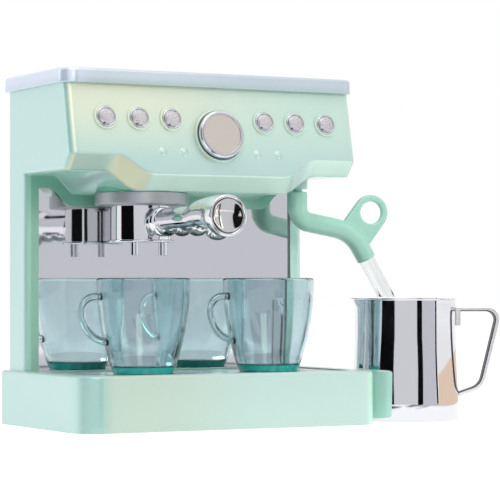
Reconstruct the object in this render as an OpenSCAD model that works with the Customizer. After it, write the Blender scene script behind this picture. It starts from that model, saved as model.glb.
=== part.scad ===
// Toy coffee maker with two cups and a milk jug.
// Millimetres, +Z up, front towards -Y. Origin: middle of the base's resting face.

/* [Machine] */
// Width of the mint housing
body_w = 117; // [110:1:124]
// Height from the table to the top of the cover
total_h = 128.6; // [126:0.2:132]
// Wall thickness of the moulded shells
wall = 1.8; // [1.4:0.1:2.2]
// Backward lean of the control face, in degrees
face_tilt = 12; // [8:1:14]

/* [Cover] */
// Width of the top cover
cover_w = 120; // [118:1:126]
// Depth of the top cover
cover_d = 58; // [56:1:60]
// Thickness of the top cover
cover_t = 5.4; // [4.6:0.2:6]
// Corner radius of the top cover
cover_r = 6; // [4:0.5:8]

/* [Base] */
// Width of the base
base_w = 121.4; // [120:0.2:126]
// Depth of the base
base_d = 75; // [74:1:80]
// Height of the base
base_h = 20; // [18:0.5:21]
// Radius of the base's front corners
base_r = 9; // [6:0.5:11]

/* [Controls] */
// Distance between neighbouring buttons
button_pitch = 13; // [12:0.25:13.5]
// Distance of the innermost buttons from the middle
button_inner_x = 19; // [18:0.5:20]
// Radius of a button cap
button_r = 2.95; // [2.6:0.05:3]
// Travel of a button
button_travel = 1; // [0.6:0.1:1.2]
// Radius of the dial
dial_r = 8.9; // [8:0.1:9.3]

/* [Group] */
// Distance of the group's axis left of the middle
group_left = 20.6; // [18:0.2:22]
// Outer radius of the group collar
collar_r = 17.15; // [16:0.05:17.6]
// Radius of the portafilter body
filter_r = 11.2; // [10.6:0.1:11.4]
// Reach of the portafilter handle from the group's axis
handle_reach = 68.5; // [62:0.5:72]

/* [Steam arm] */
// Radius of the arm
arm_r = 3.75; // [3.4:0.05:3.9]
// Swing of the arm towards the front at rest, in degrees
arm_rest = 10; // [5:1:15]
// Radius of the finger ring's hole
ring_hole_r = 4.35; // [3.6:0.05:4.4]

/* [Cups] */
// Height of a cup
cup_h = 34.6; // [32:0.1:36]
// Radius of a cup's rim
cup_rim_r = 17; // [16:0.1:17.4]
// Wall thickness of a cup
cup_wall = 1.6; // [1.2:0.1:2]
// Thickness of a cup's bottom
cup_floor = 2.5; // [2:0.1:4]

/* [Milk jug] */
// Height of the jug
jug_h = 46.5; // [44:0.1:46.5]
// Outer radius of the jug at its foot
jug_foot_r = 20.6; // [19.6:0.1:21]
// Outer radius of the jug at its rim
jug_rim_r = 19.6; // [18.6:0.1:20]
// Wall thickness of the jug
jug_wall = 1.2; // [0.9:0.1:1.6]

/* [Hidden] */
$fn = 64;

// Colours
mint = "#bfe3d9";
lilac = "#c5cfdd";
silver = "#c4c4c9";
chrome = "#d8d8dc";
teal = "#8fd0d2";
clear = "#e6f2f4";
steel = "#9a9ca0";

// Depth positions: the base is centred on the origin
back_y = base_d / 2;
cover_front_y = back_y - cover_d;
body_back_y = back_y - 3.5;
back_cover_t = 2;
seam_y = body_back_y - back_cover_t;
column_y = 17.5;
panel_lip = 1.2;
panel_y = column_y + panel_lip;
panel_t = 1.2;

// Heights
body_top = total_h - cover_t;
flank_z = 92;
belly_drop = 6.8;
belly_z = flank_z - belly_drop;

// The control face: a plane that leans back by face_tilt
face_top_y = cover_front_y + 2.35;
function face_y(z) = face_top_y - (body_top - z) * tan(face_tilt);
edge_r = 3;
body_back_r = 2.8;
column_r = 3;

// Underside of the head: [depth, height of the flanks, outer and inner half width of the S-curve]
bevel_back = 5;
bevel_drop = 6;
front_edge_y = face_y(flank_z + bevel_drop);
ahead = 4.5;
under_sections = [
    [front_edge_y - ahead, flank_z + bevel_drop * (1 + ahead / bevel_back), 38.8, 23.8],
    [front_edge_y + bevel_back, flank_z, 43.5, 29.5],
    [column_y, flank_z, 47.5, 38],
    [back_y, flank_z, 47.5, 38]
];
curve_steps = 12;
past_side = 70;
past_top = 135;

function s_curve(x, outer, inner) =
    let (t = (outer - abs(x)) / (outer - inner))
    t <= 0 ? 0 : t >= 1 ? 1 : (1 - cos(180 * t)) / 2;
function curve_xs(outer, inner) = concat(
    [-past_side],
    [for (i = [0:curve_steps]) -outer + (outer - inner) * i / curve_steps],
    [for (i = [0:curve_steps]) inner + (outer - inner) * i / curve_steps],
    [past_side]
);
function under_ring(s, lift) = concat(
    [for (x = curve_xs(s[2], s[3])) [x, s[0], s[1] + lift - belly_drop * s_curve(x, s[2], s[3])]],
    [[past_side, s[0], past_top], [-past_side, s[0], past_top]]
);

// Mirror window
window_half = 53;
window_top = 87.3;
window_drop = 6.6;
window_outer = 49;
window_inner = 39.8;

// Controls, on the leaning face
control_z = 106;
// The controls sit a little to the right of the middle
face_shift = 1.35;
dial_x = -0.45;
dial_z = 105.5;
button_z = 111.2;
ring_bore_r = button_r + 0.09;
keeper_t = 0.9;
keeper_gap = 0.05;
keeper_z = -wall - keeper_gap - keeper_t;
ring_out_r = 3.75;
bezel_r = 4.55;
dial_bezel_r = 9.9;
shaft_r = 2;
plate_gap = 8;
plate_t = 1.6;
button_xs = concat(
    [for (i = [2:-1:0]) -button_inner_x - i * button_pitch],
    [for (i = [0:2]) button_inner_x + i * button_pitch]
);
lamp_xs = [-23.6, -15, 15, 23.6];
lamp_z = 99.2;
control_posts = [[-46, -5], [-25.5, 5.3], [25.5, 5.3], [46, -5]];
function along_face(z) = (z - control_z) / cos(face_tilt);

// Group
group_x = -group_left;
group_y = -2;
collar_h = 4.7;
collar_z = belly_z - collar_h;
throat_r = filter_r + 0.35;
groove_r = filter_r + 2.5;
lug_r = filter_r + 2;
filter_bottom = 67;
filter_gap = 0.3;
spout_r = 1.6;
spout_len = 4.7;
spout_half = 5.75;
spout_ahead = 5.9;
handle_z = 74;
handle_rise = 0.95;

// Steam arm
arm_x = 48.6;
arm_y = 4;
arm_top = 87.1;
arm_boss_z = 88.2;
peg_r = 1.7;
bend_r1 = 5.5;
bend_z = 80.9;
slope1 = 11;
bend_r2 = 15;
slope2 = 60.5;
bend_u = 15.5;
bend1_u = bend_r1 * (1 - sin(slope1));
bend1_z = bend_z - bend_r1 * cos(slope1);
bend2_z = bend1_z - (bend_u - bend1_u) * tan(slope1);
bend2_cu = bend_u - bend_r2 * sin(slope1);
bend2_cz = bend2_z - bend_r2 * cos(slope1);
arm_end_u = bend2_cu + bend_r2 * sin(slope2);
arm_end_z = bend2_cz + bend_r2 * cos(slope2);
nose = 5.2;
nose_r = 3.7;
tube_r = 3.05;
tube_bore = 1.9;
tube_stub_r = 2.3;
tube_end_z = jug_h + 0.3;
ring_u = 29.9;
ring_z = 79.5;
ring_r = 6.9;
ring_t = 2.6;
ring_root_u = 22.4;
ring_root_z = 69.5;
step = 0.05;

// Tray and cups
tray_front = -base_d / 2 + 4;
tray_back = column_y - 0.5;
tray_w = 107;
tray_r = 9;
tray_floor = base_h - 2;
tray_sunk = 0.5;
tray_top = base_h - tray_sunk;
cup_y = -10.4;
cup_left_x = -23.9;
cup_right_x = 27.8;

// Milk jug
jug_x = 86;
jug_y = -13.5;
jug_turn = -24;
strip_w = 4.6;
strip_t = 1.7;

// Screws
screw_r = 1;
post_r = 2.8;
base_posts = [[-50, -27], [50, -27], [-40, 28], [40, 28]];
frame_posts = [[-54.3, 26.5], [54.3, 26.5]];
back_posts = [[-54.3, 40], [54.3, 40], [-54.3, 108], [54.3, 108]];
cover_posts = [[-54.3, -8], [54.3, -8], [-54.3, 20], [54.3, 20]];
lug_z = 116.5;
lug_t = 2.2;
collar_posts = [0, 120, 240];
collar_post_r = 5.5;

// ---------- shared shapes ----------

// Rectangle with its own corner radius at the front and at the back
module plan(w, y0, y1, front_r, back_r) {
    translate([-w / 2 + front_r, y0]) square([w - 2 * front_r, front_r + 0.01]);
    translate([-w / 2, y0 + front_r]) square([w, y1 - y0 - front_r - back_r]);
    translate([-w / 2 + back_r, y1 - back_r - 0.01]) square([w - 2 * back_r, back_r + 0.01]);
    for (side = [-1, 1]) {
        translate([side * (w / 2 - front_r), y0 + front_r]) circle(front_r);
        translate([side * (w / 2 - back_r), y1 - back_r]) circle(back_r);
    }
}

// Put children on the control face: local +Z points out of the face, +Y up along it
module on_face(x, z) {
    translate([x + face_shift, face_y(z), z]) rotate([90 - face_tilt, 0, 0]) children();
}

// Put children on the plane of the control plate's own middle
module on_plate() {
    on_face(0, control_z) children();
}

// Put children in the arm's own upright plane, with the peg's axis at its origin
module on_arm() {
    translate([arm_x, arm_y, 0]) rotate([0, 0, -arm_rest]) children();
}

// Screw with its head at the origin and its shank along +Z
module screw(length, head_r, head_t) {
    difference() {
        union() {
            translate([0, 0, -head_t]) cylinder(r = head_r, h = head_t);
            cylinder(r = screw_r, h = length);
        }
        for (turn = [0, 90]) {
            rotate([0, 0, turn]) translate([-head_r * 0.65, -0.25, -head_t - 1]) cube([head_r * 1.3, 0.5, 1.6]);
        }
    }
}

// Space under the head's curved lower surface, everything above it is filled
module above_underside(lift) {
    rings = [for (s = under_sections) under_ring(s, lift)];
    m = len(rings[0]);
    last = len(rings) - 1;
    points = [for (ring = rings) for (p = ring) p];
    sides = [for (k = [0:last - 1]) for (i = [0:m - 1]) for (half = [0, 1])
        let (a = k * m + i, b = k * m + (i + 1) % m, c = (k + 1) * m + (i + 1) % m, d = (k + 1) * m + i)
        half == 0 ? [a, b, c] : [a, c, d]];
    front = [[for (i = [m - 1:-1:0]) i]];
    back = [concat([last * m + m - 1], [for (i = [0:m - 2]) last * m + i])];
    polyhedron(points = points, faces = concat(sides, front, back));
}

// Prism whose front is the leaning control face
module leaning_prism(inset) {
    translate([0, face_top_y, body_top]) rotate([-face_tilt, 0, 0]) translate([0, 0, -70])
        linear_extrude(100) plan(body_w - 2 * inset, inset, 90, max(edge_r - inset, 1), 1);
}

module head_space(inset, top) {
    intersection() {
        leaning_prism(inset);
        translate([0, 0, belly_z - 1]) linear_extrude(top - belly_z + 1)
            plan(body_w - 2 * inset, -60, body_back_y, 1, body_back_r - inset);
        above_underside(inset);
    }
}

module rear_space(inset, front, bottom, top) {
    translate([0, 0, bottom]) linear_extrude(top - bottom)
        plan(body_w - 2 * inset, front, body_back_y, column_r - inset, body_back_r - inset);
}

// Outline of the mirror window, grown by a margin; y is height here
module window_outline(grow, bottom) {
    half = window_half + grow;
    outer = window_outer + grow;
    inner = window_inner + grow;
    polygon(concat(
        [[-half, bottom], [half, bottom], [half, window_top + grow]],
        [for (i = [0:curve_steps]) let (x = outer - (outer - inner) * i / curve_steps)
            [x, window_top + grow - window_drop * s_curve(x, outer, inner)]],
        [for (i = [0:curve_steps]) let (x = -inner - (outer - inner) * i / curve_steps)
            [x, window_top + grow - window_drop * s_curve(x, outer, inner)]],
        [[-half, window_top + grow]]
    ));
}

// Upright slice of the mirror window's outline, from one depth to another
module window_slab(grow, bottom, y0, y1) {
    translate([0, y1, 0]) rotate([90, 0, 0]) linear_extrude(y1 - y0) window_outline(grow, bottom);
}

// ---------- casing ----------

module housing() {
    color(mint) difference() {
        union() {
            difference() {
                intersection() {
                    union() {
                        head_space(0, body_top);
                        rear_space(0, column_y, base_h, flank_z + 5);
                    }
                    translate([-past_side, -60, 0]) cube([2 * past_side, 60 + seam_y, 200]);
                }
                head_space(wall, body_top + 1);
                rear_space(wall, panel_y, base_h - 1, flank_z + 8);
                window_slab(0, base_h - 1, column_y - 1, panel_y + 1);
            }
            housing_posts();
            // Round seat above the group collar
            translate([group_x, group_y, belly_z]) cylinder(r1 = collar_r + 0.1, r2 = collar_r + 0.7, h = 7);
            // Boss that carries the steam arm
            translate([arm_x, arm_y, arm_boss_z]) cylinder(r = arm_r, h = flank_z + wall - arm_boss_z);
            // Raised rims round the buttons and the dial
            for (x = button_xs) on_face(x, button_z) translate([0, 0, -wall / 2]) cylinder(r = bezel_r, h = wall / 2 + 0.6);
            on_face(dial_x, dial_z) translate([0, 0, -wall / 2]) cylinder(r = dial_bezel_r, h = wall / 2 + 1.4);
            // Pilot lamps, moulded as small domes
            for (x = lamp_xs) on_face(x, lamp_z) translate([0, 0, -1.25]) sphere(r = 2);
        }
        for (x = button_xs) on_face(x, button_z) translate([0, 0, -wall - 1]) cylinder(r = ring_out_r, h = wall + 3);
        on_face(dial_x, dial_z) {
            translate([0, 0, 0]) cylinder(r = dial_r + 0.3, h = 4);
            translate([0, 0, -wall - 1]) cylinder(r = shaft_r + 0.06, h = wall + 3);
        }
        for (p = control_posts) on_plate() translate([p[0], p[1], -plate_gap - 1]) cylinder(r = screw_r, h = 6.4);
        translate([arm_x, arm_y, arm_boss_z - 1]) cylinder(r = peg_r + 0.06, h = 12);
        for (a = collar_posts) group_place(a) translate([0, 0, belly_z - 1]) cylinder(r = 1.8, h = 10);
        for (p = back_posts) translate([p[0], seam_y + 0.5, p[1]]) rotate([90, 0, 0]) cylinder(r = screw_r, h = 8);
        for (p = frame_posts) translate([p[0], p[1], base_h - 1]) cylinder(r = screw_r, h = 9);
        for (p = cover_posts) translate([p[0], p[1], lug_z - lug_t - 1]) cylinder(r = screw_r + 0.2, h = lug_t + 2);
        // Room above the collar's seat, inside the head
        translate([group_x, group_y, belly_z + wall]) cylinder(r = collar_r - 1, h = 8);
    }
}

module housing_posts() {
    for (p = control_posts) {
        on_plate() translate([p[0], p[1], -plate_gap]) cylinder(r = 2.2, h = plate_gap - wall / 2);
    }
    for (p = back_posts) translate([p[0], seam_y, p[1]]) rotate([90, 0, 0]) cylinder(r = post_r, h = 10);
    for (p = frame_posts) translate([p[0], p[1], base_h]) cylinder(r = post_r, h = 11);
    for (p = cover_posts) translate([p[0], p[1], lug_z - lug_t]) cylinder(r = post_r, h = lug_t);
}

// Turn children round the group's axis to one of the collar's screw posts
module group_place(a) {
    translate([group_x, group_y, 0]) rotate([0, 0, a]) translate([0, collar_post_r, 0]) children();
}

module back_cover() {
    color(mint) difference() {
        intersection() {
            union() {
                head_space(0, body_top);
                rear_space(0, column_y, base_h, flank_z + 5);
            }
            translate([-past_side, seam_y, 0]) cube([2 * past_side, 20, 200]);
        }
        for (p = back_posts) translate([p[0], body_back_y + 1, p[1]]) rotate([90, 0, 0]) {
            cylinder(r = screw_r + 0.2, h = 6);
            cylinder(r = 2.3, h = 2);
        }
        // Shallow panel line across the back
        translate([-46, body_back_y - 0.5, 34]) cube([92, 2, 0.8]);
        translate([-46, body_back_y - 0.5, 112]) cube([92, 2, 0.8]);
    }
}

module top_cover() {
    color(lilac) difference() {
        union() {
            translate([0, 0, body_top]) linear_extrude(cover_t)
                plan(cover_w, cover_front_y, back_y, cover_r, cover_r);
            for (p = cover_posts) translate([p[0], p[1], lug_z]) cylinder(r = 2.3, h = body_top - lug_z + 0.5);
        }
        // Hollow underneath, inside the housing's walls
        translate([0, 0, body_top - 1]) linear_extrude(1 + cover_t - 2.6) difference() {
            plan(body_w - 12, face_top_y + 8, body_back_y - 6, 3, 3);
            for (p = cover_posts) translate([p[0], p[1]]) circle(4);
        }
        // Shallow cup shelf on top
        translate([0, 0, total_h - 0.8]) linear_extrude(2)
            plan(cover_w - 7, cover_front_y + 3.5, back_y - 3.5, cover_r - 2, cover_r - 2);
        for (p = cover_posts) translate([p[0], p[1], lug_z - 1]) cylinder(r = screw_r, h = 6.4);
    }
}

module mirror_panel() {
    color(silver) difference() {
        window_slab(1.4, base_h, panel_y, panel_y + panel_t);
        translate([-past_side, panel_y - 1, base_h - 10]) cube([2 * past_side, 5, 10]);
    }
}

module base_shell() {
    color(mint) difference() {
        union() {
            difference() {
                linear_extrude(base_h) plan(base_w, -base_d / 2, base_d / 2, base_r, 4);
                translate([0, 0, -1]) linear_extrude(1 + tray_floor - wall)
                    plan(base_w - 2 * wall, -base_d / 2 + wall, base_d / 2 - wall, base_r - wall, 4 - wall);
            }
            for (p = base_posts) translate([p[0], p[1], wall]) cylinder(r = post_r, h = tray_floor - wall);
        }
        // Recess for the drip tray
        translate([0, 0, tray_floor]) linear_extrude(5) plan(tray_w, tray_front, tray_back, tray_r, 2);
        for (p = base_posts) translate([p[0], p[1], wall - 1]) cylinder(r = screw_r, h = 10.4);
        for (p = frame_posts) {
            translate([p[0], p[1], 10]) cylinder(r = screw_r + 0.2, h = 12);
        }
    }
}

module base_plate() {
    gap = 0.15;
    inset = wall + gap;
    color(mint) difference() {
        linear_extrude(wall)
            plan(base_w - 2 * inset, -base_d / 2 + inset, base_d / 2 - inset, base_r - inset, 4 - inset);
        for (p = base_posts) translate([p[0], p[1], -1]) {
            cylinder(r = screw_r + 0.2, h = 5);
            cylinder(r = 2.3, h = 2.1);
        }
    }
}

module drip_tray() {
    gap = 0.5;
    slots = 24;
    slot_w = 1.7;
    slot_pitch = 4;
    color(silver) difference() {
        translate([0, 0, tray_floor]) linear_extrude(tray_top - tray_floor)
            plan(tray_w - 2 * gap, tray_front + gap, tray_back - gap, tray_r - gap, 2 - gap);
        for (i = [0:slots - 1]) {
            translate([(i - (slots - 1) / 2) * slot_pitch - slot_w / 2, tray_front + 8, tray_floor - 1])
                cube([slot_w, tray_back - tray_front - 16, 5]);
        }
    }
}

// ---------- controls ----------

module control_plate() {
    color(steel) on_plate() difference() {
        translate([-50, -9, -plate_gap - plate_t]) cube([100, 19, plate_t]);
        for (p = control_posts) translate([p[0], p[1], -plate_gap - plate_t - 1]) cylinder(r = screw_r + 0.2, h = 4);
        translate([dial_x, along_face(dial_z), -plate_gap - plate_t - 1]) cylinder(r = shaft_r + 0.06, h = 4);
    }
}

module button_rings() {
    color(chrome) for (x = button_xs) on_face(x, button_z) difference() {
        union() {
            translate([0, 0, -wall]) cylinder(r = ring_out_r, h = wall + 0.8);
        }
        translate([0, 0, -wall - 1]) cylinder(r = ring_bore_r, h = wall + 4);
    }
}

module button(i) {
    crown = 9;
    proud = 1.5;
    color(silver) on_face(button_xs[i], button_z) {
        intersection() {
            translate([0, 0, keeper_z + 0.4]) cylinder(r = button_r, h = proud - keeper_z - 0.4);
            translate([0, 0, proud - crown]) sphere(r = crown);
        }
        // Keeper flange behind the ring
        translate([0, 0, keeper_z]) cylinder(r = ring_out_r, h = keeper_t);
    }
}

spring_steps = 10;
spring_sides = 6;
spring_turns = 4;
spring_wire = 0.25;
spring_r = 1.9;
spring_gap = 0.05;

// Helical spring between the control plate and a button's flange
module spring(i) {
    low = -plate_gap + spring_wire + spring_gap;
    high = keeper_z - spring_wire - spring_gap;
    rings = spring_steps * spring_turns;
    points = [for (k = [0:rings]) for (j = [0:spring_sides - 1])
        let (turn = 360 * k / spring_steps, side = 360 * j / spring_sides, r = spring_r + spring_wire * cos(side))
        [r * cos(turn), r * sin(turn), low + (high - low) * k / rings + spring_wire * sin(side)]];
    n = spring_sides;
    skin = [for (k = [0:rings - 1]) for (j = [0:n - 1]) for (half = [0, 1])
        let (a = k * n + j, b = k * n + (j + 1) % n, c = (k + 1) * n + (j + 1) % n, d = (k + 1) * n + j)
        half == 0 ? [a, c, b] : [a, d, c]];
    start = [[for (j = [0:n - 1]) j]];
    end = [[for (j = [n - 1:-1:0]) rings * n + j]];
    color(steel) on_face(button_xs[i], button_z)
        polyhedron(points = points, faces = concat(skin, start, end));
}

module dial_knob() {
    color(chrome) on_face(dial_x, dial_z) difference() {
        union() {
            rotate_extrude() polygon(concat(
                [[0, 0.3], [dial_r, 0.3], [dial_r, 2.8]],
                [for (a = [15:15:90]) [dial_r - 0.8 * (1 - cos(a)), 2.8 + 0.8 * sin(a)]],
                [[0, 3.6]]
            ));
            translate([0, 0, -plate_gap - plate_t - 1.6]) cylinder(r = shaft_r, h = plate_gap + plate_t + 2.4);
        }
        translate([0, 0, 2.8]) cylinder(r = dial_r - 1.5, h = 3);
        // Groove for the clip
        translate([0, 0, -plate_gap - plate_t - 1]) difference() {
            cylinder(r = shaft_r + 1, h = 0.7);
            translate([0, 0, -1]) cylinder(r = shaft_r - 0.6, h = 3);
        }
    }
}

module dial_face() {
    color(silver) on_face(dial_x, dial_z) translate([0, 0, 2.8]) cylinder(r = dial_r - 1.5, h = 0.6);
}

module dial_clip() {
    color(steel) on_face(dial_x, dial_z) translate([0, 0, -plate_gap - plate_t - 1]) difference() {
        cylinder(r = shaft_r + 1.6, h = 0.7);
        translate([0, 0, -1]) cylinder(r = shaft_r - 0.6, h = 3);
        translate([-1, 0, -1]) cube([2, 6, 3]);
    }
}

// ---------- group and portafilter ----------

module group_collar() {
    groove_z = collar_z + 1.7;
    groove_h = 2;
    color(lilac) difference() {
        union() {
            translate([group_x, group_y, collar_z]) cylinder(r = collar_r, h = collar_h);
            for (a = collar_posts) group_place(a) translate([0, 0, belly_z - 0.5]) cylinder(r = 1.7, h = wall + 0.5);
        }
        translate([group_x, group_y, collar_z - 1]) {
            cylinder(r = throat_r, h = 1 + collar_h - 1);
        }
        translate([group_x, group_y, groove_z]) cylinder(r = groove_r, h = groove_h);
        // Two slots that let the lugs in when the handle is swung to the left
        for (side = [0, 180]) translate([group_x, group_y, collar_z - 1]) rotate([0, 0, -45 + side])
            translate([0, -3.4, 0]) cube([groove_r, 6.8, 3]);
        for (a = collar_posts) group_place(a) translate([0, 0, collar_z + 3.9]) cylinder(r = screw_r, h = 8);
    }
}

module portafilter_body() {
    lug_z0 = collar_z + 1.9;
    color(chrome) translate([group_x, group_y, 0]) difference() {
        union() {
            translate([0, 0, filter_bottom + 0.9]) cylinder(r = filter_r, h = lug_z0 + 1.5 - filter_bottom - 0.9);
            translate([0, 0, filter_bottom]) cylinder(r = filter_r + 1, h = 0.9);
            translate([0, 0, lug_z0]) intersection() {
                cylinder(r = lug_r, h = 1.5);
                translate([-lug_r, -3, 0]) cube([2 * lug_r, 6, 1.5]);
            }
        }
        // Blind hole for the handle's stud
        handle_frame() cylinder(r = 1.6, h = filter_r + 2);
    }
}

module portafilter_spouts() {
    color(chrome) for (side = [-1, 1]) {
        translate([group_x + side * spout_half, group_y - spout_ahead, filter_bottom - spout_len]) difference() {
            cylinder(r = spout_r, h = spout_len);
            translate([0, 0, -1]) cylinder(r = spout_r - 0.5, h = 4);
        }
    }
}

// Local +Z runs out along the handle from the group's axis, local +Y is up
module handle_frame() {
    translate([0, 0, handle_z]) rotate([90 - atan(handle_rise / (handle_reach - filter_r)), 0, 0]) children();
}

handle_start = 10.6;
handle_r = 7.25;
handle_cap_r = 5.8;
// Neck, ring and the flare's end, round the handle's own line
handle_core = [
    [0, handle_start], [3.3, handle_start], [3.3, 15.6], [4.9, 16.2], [5.4, 16.8], [5.4, 17.8], [4.9, 18.4],
    [3.6, 18.9], [3.6, 60], [6, 61], [handle_r, 65]
];
// Grip and flare, whose centre lines lie above it: [height above it, outline]
handle_upper = [
    [0.45, [[0, 18.5], [3.9, 18.5], [4.3, 19.2], [4.35, 24], [4.3, 34], [4.25, 46], [0, 46]]],
    [1.3, [[0, 43.5], [3.6, 43.5], [4.6, 45.5], [5.05, 47.5], [5.4, 52], [5.8, 57.5], [5.9, 62], [5.9, 65], [0, 65]]]
];
lobe_half = 2.6;
finger_lobes = [[21.5, 4.05, 1.4], [33, 4.15, 1.75], [45, 4.35, 1.9], [60, 4.9, 3.3]];

module portafilter_handle() {
    tip = handle_reach;
    color(chrome) translate([group_x, group_y, 0]) difference() {
        handle_frame() {
            rotate_extrude() polygon(concat(
                handle_core,
                [[handle_r, tip - 0.7], [handle_r - 0.2, tip - 0.2], [handle_r - 0.6, tip], [0, tip]]
            ));
            for (part = handle_upper) translate([0, part[0], 0]) rotate_extrude() polygon(part[1]);
            // Lobes narrower than the grip, so that they hang below it like a keel
            for (lobe = finger_lobes) intersection() {
                translate([0, -lobe[2], lobe[0]]) sphere(r = lobe[1]);
                translate([-lobe_half, -20, 0]) cube([2 * lobe_half, 20, 100]);
            }
            cylinder(r = 1.6, h = handle_start + 0.5);
        }
        handle_frame() translate([0, 0, tip - 1.2]) cylinder(r = handle_cap_r, h = 3);
        // The neck ends on the body's round wall
        cylinder(r = filter_r, h = 71.5 + 0.01);
        difference() {
            translate([0, 0, 60]) cylinder(r = filter_r, h = 30);
            handle_frame() cylinder(r = 1.6, h = filter_r + 2);
        }
    }
}

module handle_cap() {
    color(silver) translate([group_x, group_y, 0]) handle_frame()
        translate([0, 0, handle_reach - 1.2]) cylinder(r = handle_cap_r, h = 1.1);
}

// ---------- steam arm ----------

// Quarter-like bend in the arm's plane: circle of the arm swept from one angle to another
module arm_bend(cu, cz, bend, from, to) {
    translate([cu, 0, cz]) rotate([90, 0, 0]) rotate([0, 0, from])
        rotate_extrude(angle = to - from) translate([bend, 0]) circle(arm_r);
}

module steam_arm() {
    color(mint) on_arm() difference() {
        union() {
            // The straight stretches are a hair thicker than the bends and reach into them
            translate([0, 0, bend_z - step]) cylinder(r = arm_r + step, h = arm_top - bend_z + step);
            translate([0, 0, arm_top - 0.5]) cylinder(r = peg_r, h = flank_z + wall + 0.2 - arm_top + 0.5);
            arm_bend(bend_r1, bend_z, bend_r1, 180, 270 - slope1);
            translate([bend1_u, 0, bend1_z]) rotate([0, 90 + slope1, 0]) translate([0, 0, -step])
                cylinder(r = arm_r + step, h = (bend_u - bend1_u) / cos(slope1) + 2 * step);
            arm_bend(bend2_cu, bend2_cz, bend_r2, 90 - slope2, 90 - slope1);
            translate([arm_end_u, 0, arm_end_z]) rotate([0, 90 + slope2, 0]) translate([0, 0, -step])
                cylinder(r1 = arm_r + step, r2 = nose_r, h = nose + step);
            ring_plate();
        }
        translate([ring_u, -10, ring_z]) rotate([-90, 0, 0]) cylinder(r = ring_hole_r, h = 20);
        // Socket for the clear tube
        translate([arm_end_u, 0, arm_end_z]) rotate([0, 90 + slope2, 0]) cylinder(r = tube_stub_r, h = nose + 1);
        translate([0, 0, arm_top]) cylinder(r = screw_r - 0.2, h = 12);
    }
}

// Flat tongue with a finger ring, standing up from the arm's bend
module ring_plate() {
    reach = norm([ring_u - ring_root_u, ring_z - ring_root_z]);
    lean = atan2(ring_z - ring_root_z, ring_u - ring_root_u);
    translate([ring_root_u, ring_t / 2, ring_root_z]) rotate([90, 0, 0]) linear_extrude(ring_t) rotate([0, 0, lean]) {
        translate([0, -ring_r]) square([reach, 2 * ring_r]);
        translate([reach, 0]) circle(ring_r);
    }
}

module steam_tube() {
    drop = 30;
    color(clear) on_arm() difference() {
        translate([arm_end_u, 0, arm_end_z]) rotate([0, 90 + slope2, 0]) difference() {
            union() {
                cylinder(r = tube_stub_r, h = nose + 0.1);
                translate([0, 0, nose]) cylinder(r = tube_r, h = drop);
            }
            translate([0, 0, -1]) cylinder(r = tube_bore, h = drop + nose + 2);
        }
        translate([0, -20, tube_end_z - 40]) cube([80, 40, 40]);
    }
}

module arm_washer() {
    color(steel) translate([arm_x, arm_y, flank_z + wall + 0.2]) difference() {
        cylinder(r = 3.6, h = 0.8);
        translate([0, 0, -1]) cylinder(r = screw_r - 0.2, h = 3);
    }
}

module arm_screw() {
    color(steel) translate([arm_x, arm_y, flank_z + wall + 1]) difference() {
        union() {
            cylinder(r = 1.7, h = 1.2);
            translate([0, 0, -5.5]) cylinder(r = screw_r - 0.2, h = 5.6);
        }
        for (turn = [0, 90]) rotate([0, 0, turn]) translate([-1.2, -0.25, 0.7]) cube([2.4, 0.5, 1]);
    }
}

// ---------- cups ----------

// Outer radius of a cup against height, as shares of the rim radius and the cup's height
cup_shape = [[0.618, 0], [0.668, 0.04], [0.735, 0.13], [0.812, 0.26], [0.875, 0.38], [0.918, 0.49],
    [0.953, 0.6], [0.982, 0.74], [0.995, 0.87], [1, 0.98]];

module cup(x) {
    inner = [for (p = cup_shape) if (p[1] * cup_h > cup_floor + 1) [p[0] * cup_rim_r - cup_wall, p[1] * cup_h]];
    color(teal) translate([x, cup_y, tray_top]) {
        difference() {
            union() {
                rotate_extrude() polygon(concat(
                    [[0, 0]],
                    [for (p = cup_shape) [p[0] * cup_rim_r, p[1] * cup_h]],
                    [[cup_rim_r - 0.5, cup_h], [0, cup_h]]
                ));
                cup_handle();
            }
            rotate_extrude() polygon(concat(
                [[0, cup_floor], [inner[0][0] - 1.4, cup_floor], [inner[0][0], cup_floor + 1]],
                inner,
                [[cup_rim_r - cup_wall, cup_h + 1], [0, cup_h + 1]]
            ));
        }
    }
}

// Ear of a cup, on its left: two arcs and a short bar
module cup_handle() {
    grip_r = 1.35;
    ear_z = 22.4;
    small_r = 5.5;
    small_c = 19;
    large_r = 10.8;
    large_c = 13.7;
    // The bar and the large arc are a hair thicker, and the small arc reaches into both
    thick_r = grip_r + 0.05;
    bar_start = 15.6;
    rotate([0, 0, 180]) rotate([90, 0, 0]) {
        translate([small_c, ear_z]) rotate([0, 0, -1]) rotate_extrude(angle = 92)
            translate([small_r, 0]) circle(grip_r);
        translate([large_c, ear_z]) rotate([0, 0, -94]) rotate_extrude(angle = 94)
            translate([large_r, 0]) circle(thick_r);
        translate([bar_start, ear_z + small_r, 0]) rotate([0, 90, 0])
            cylinder(r = thick_r, h = small_c - bar_start);
    }
}

// ---------- milk jug ----------

module jug_place() {
    translate([jug_x, jug_y, 0]) rotate([0, 0, jug_turn]) children();
}

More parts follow.
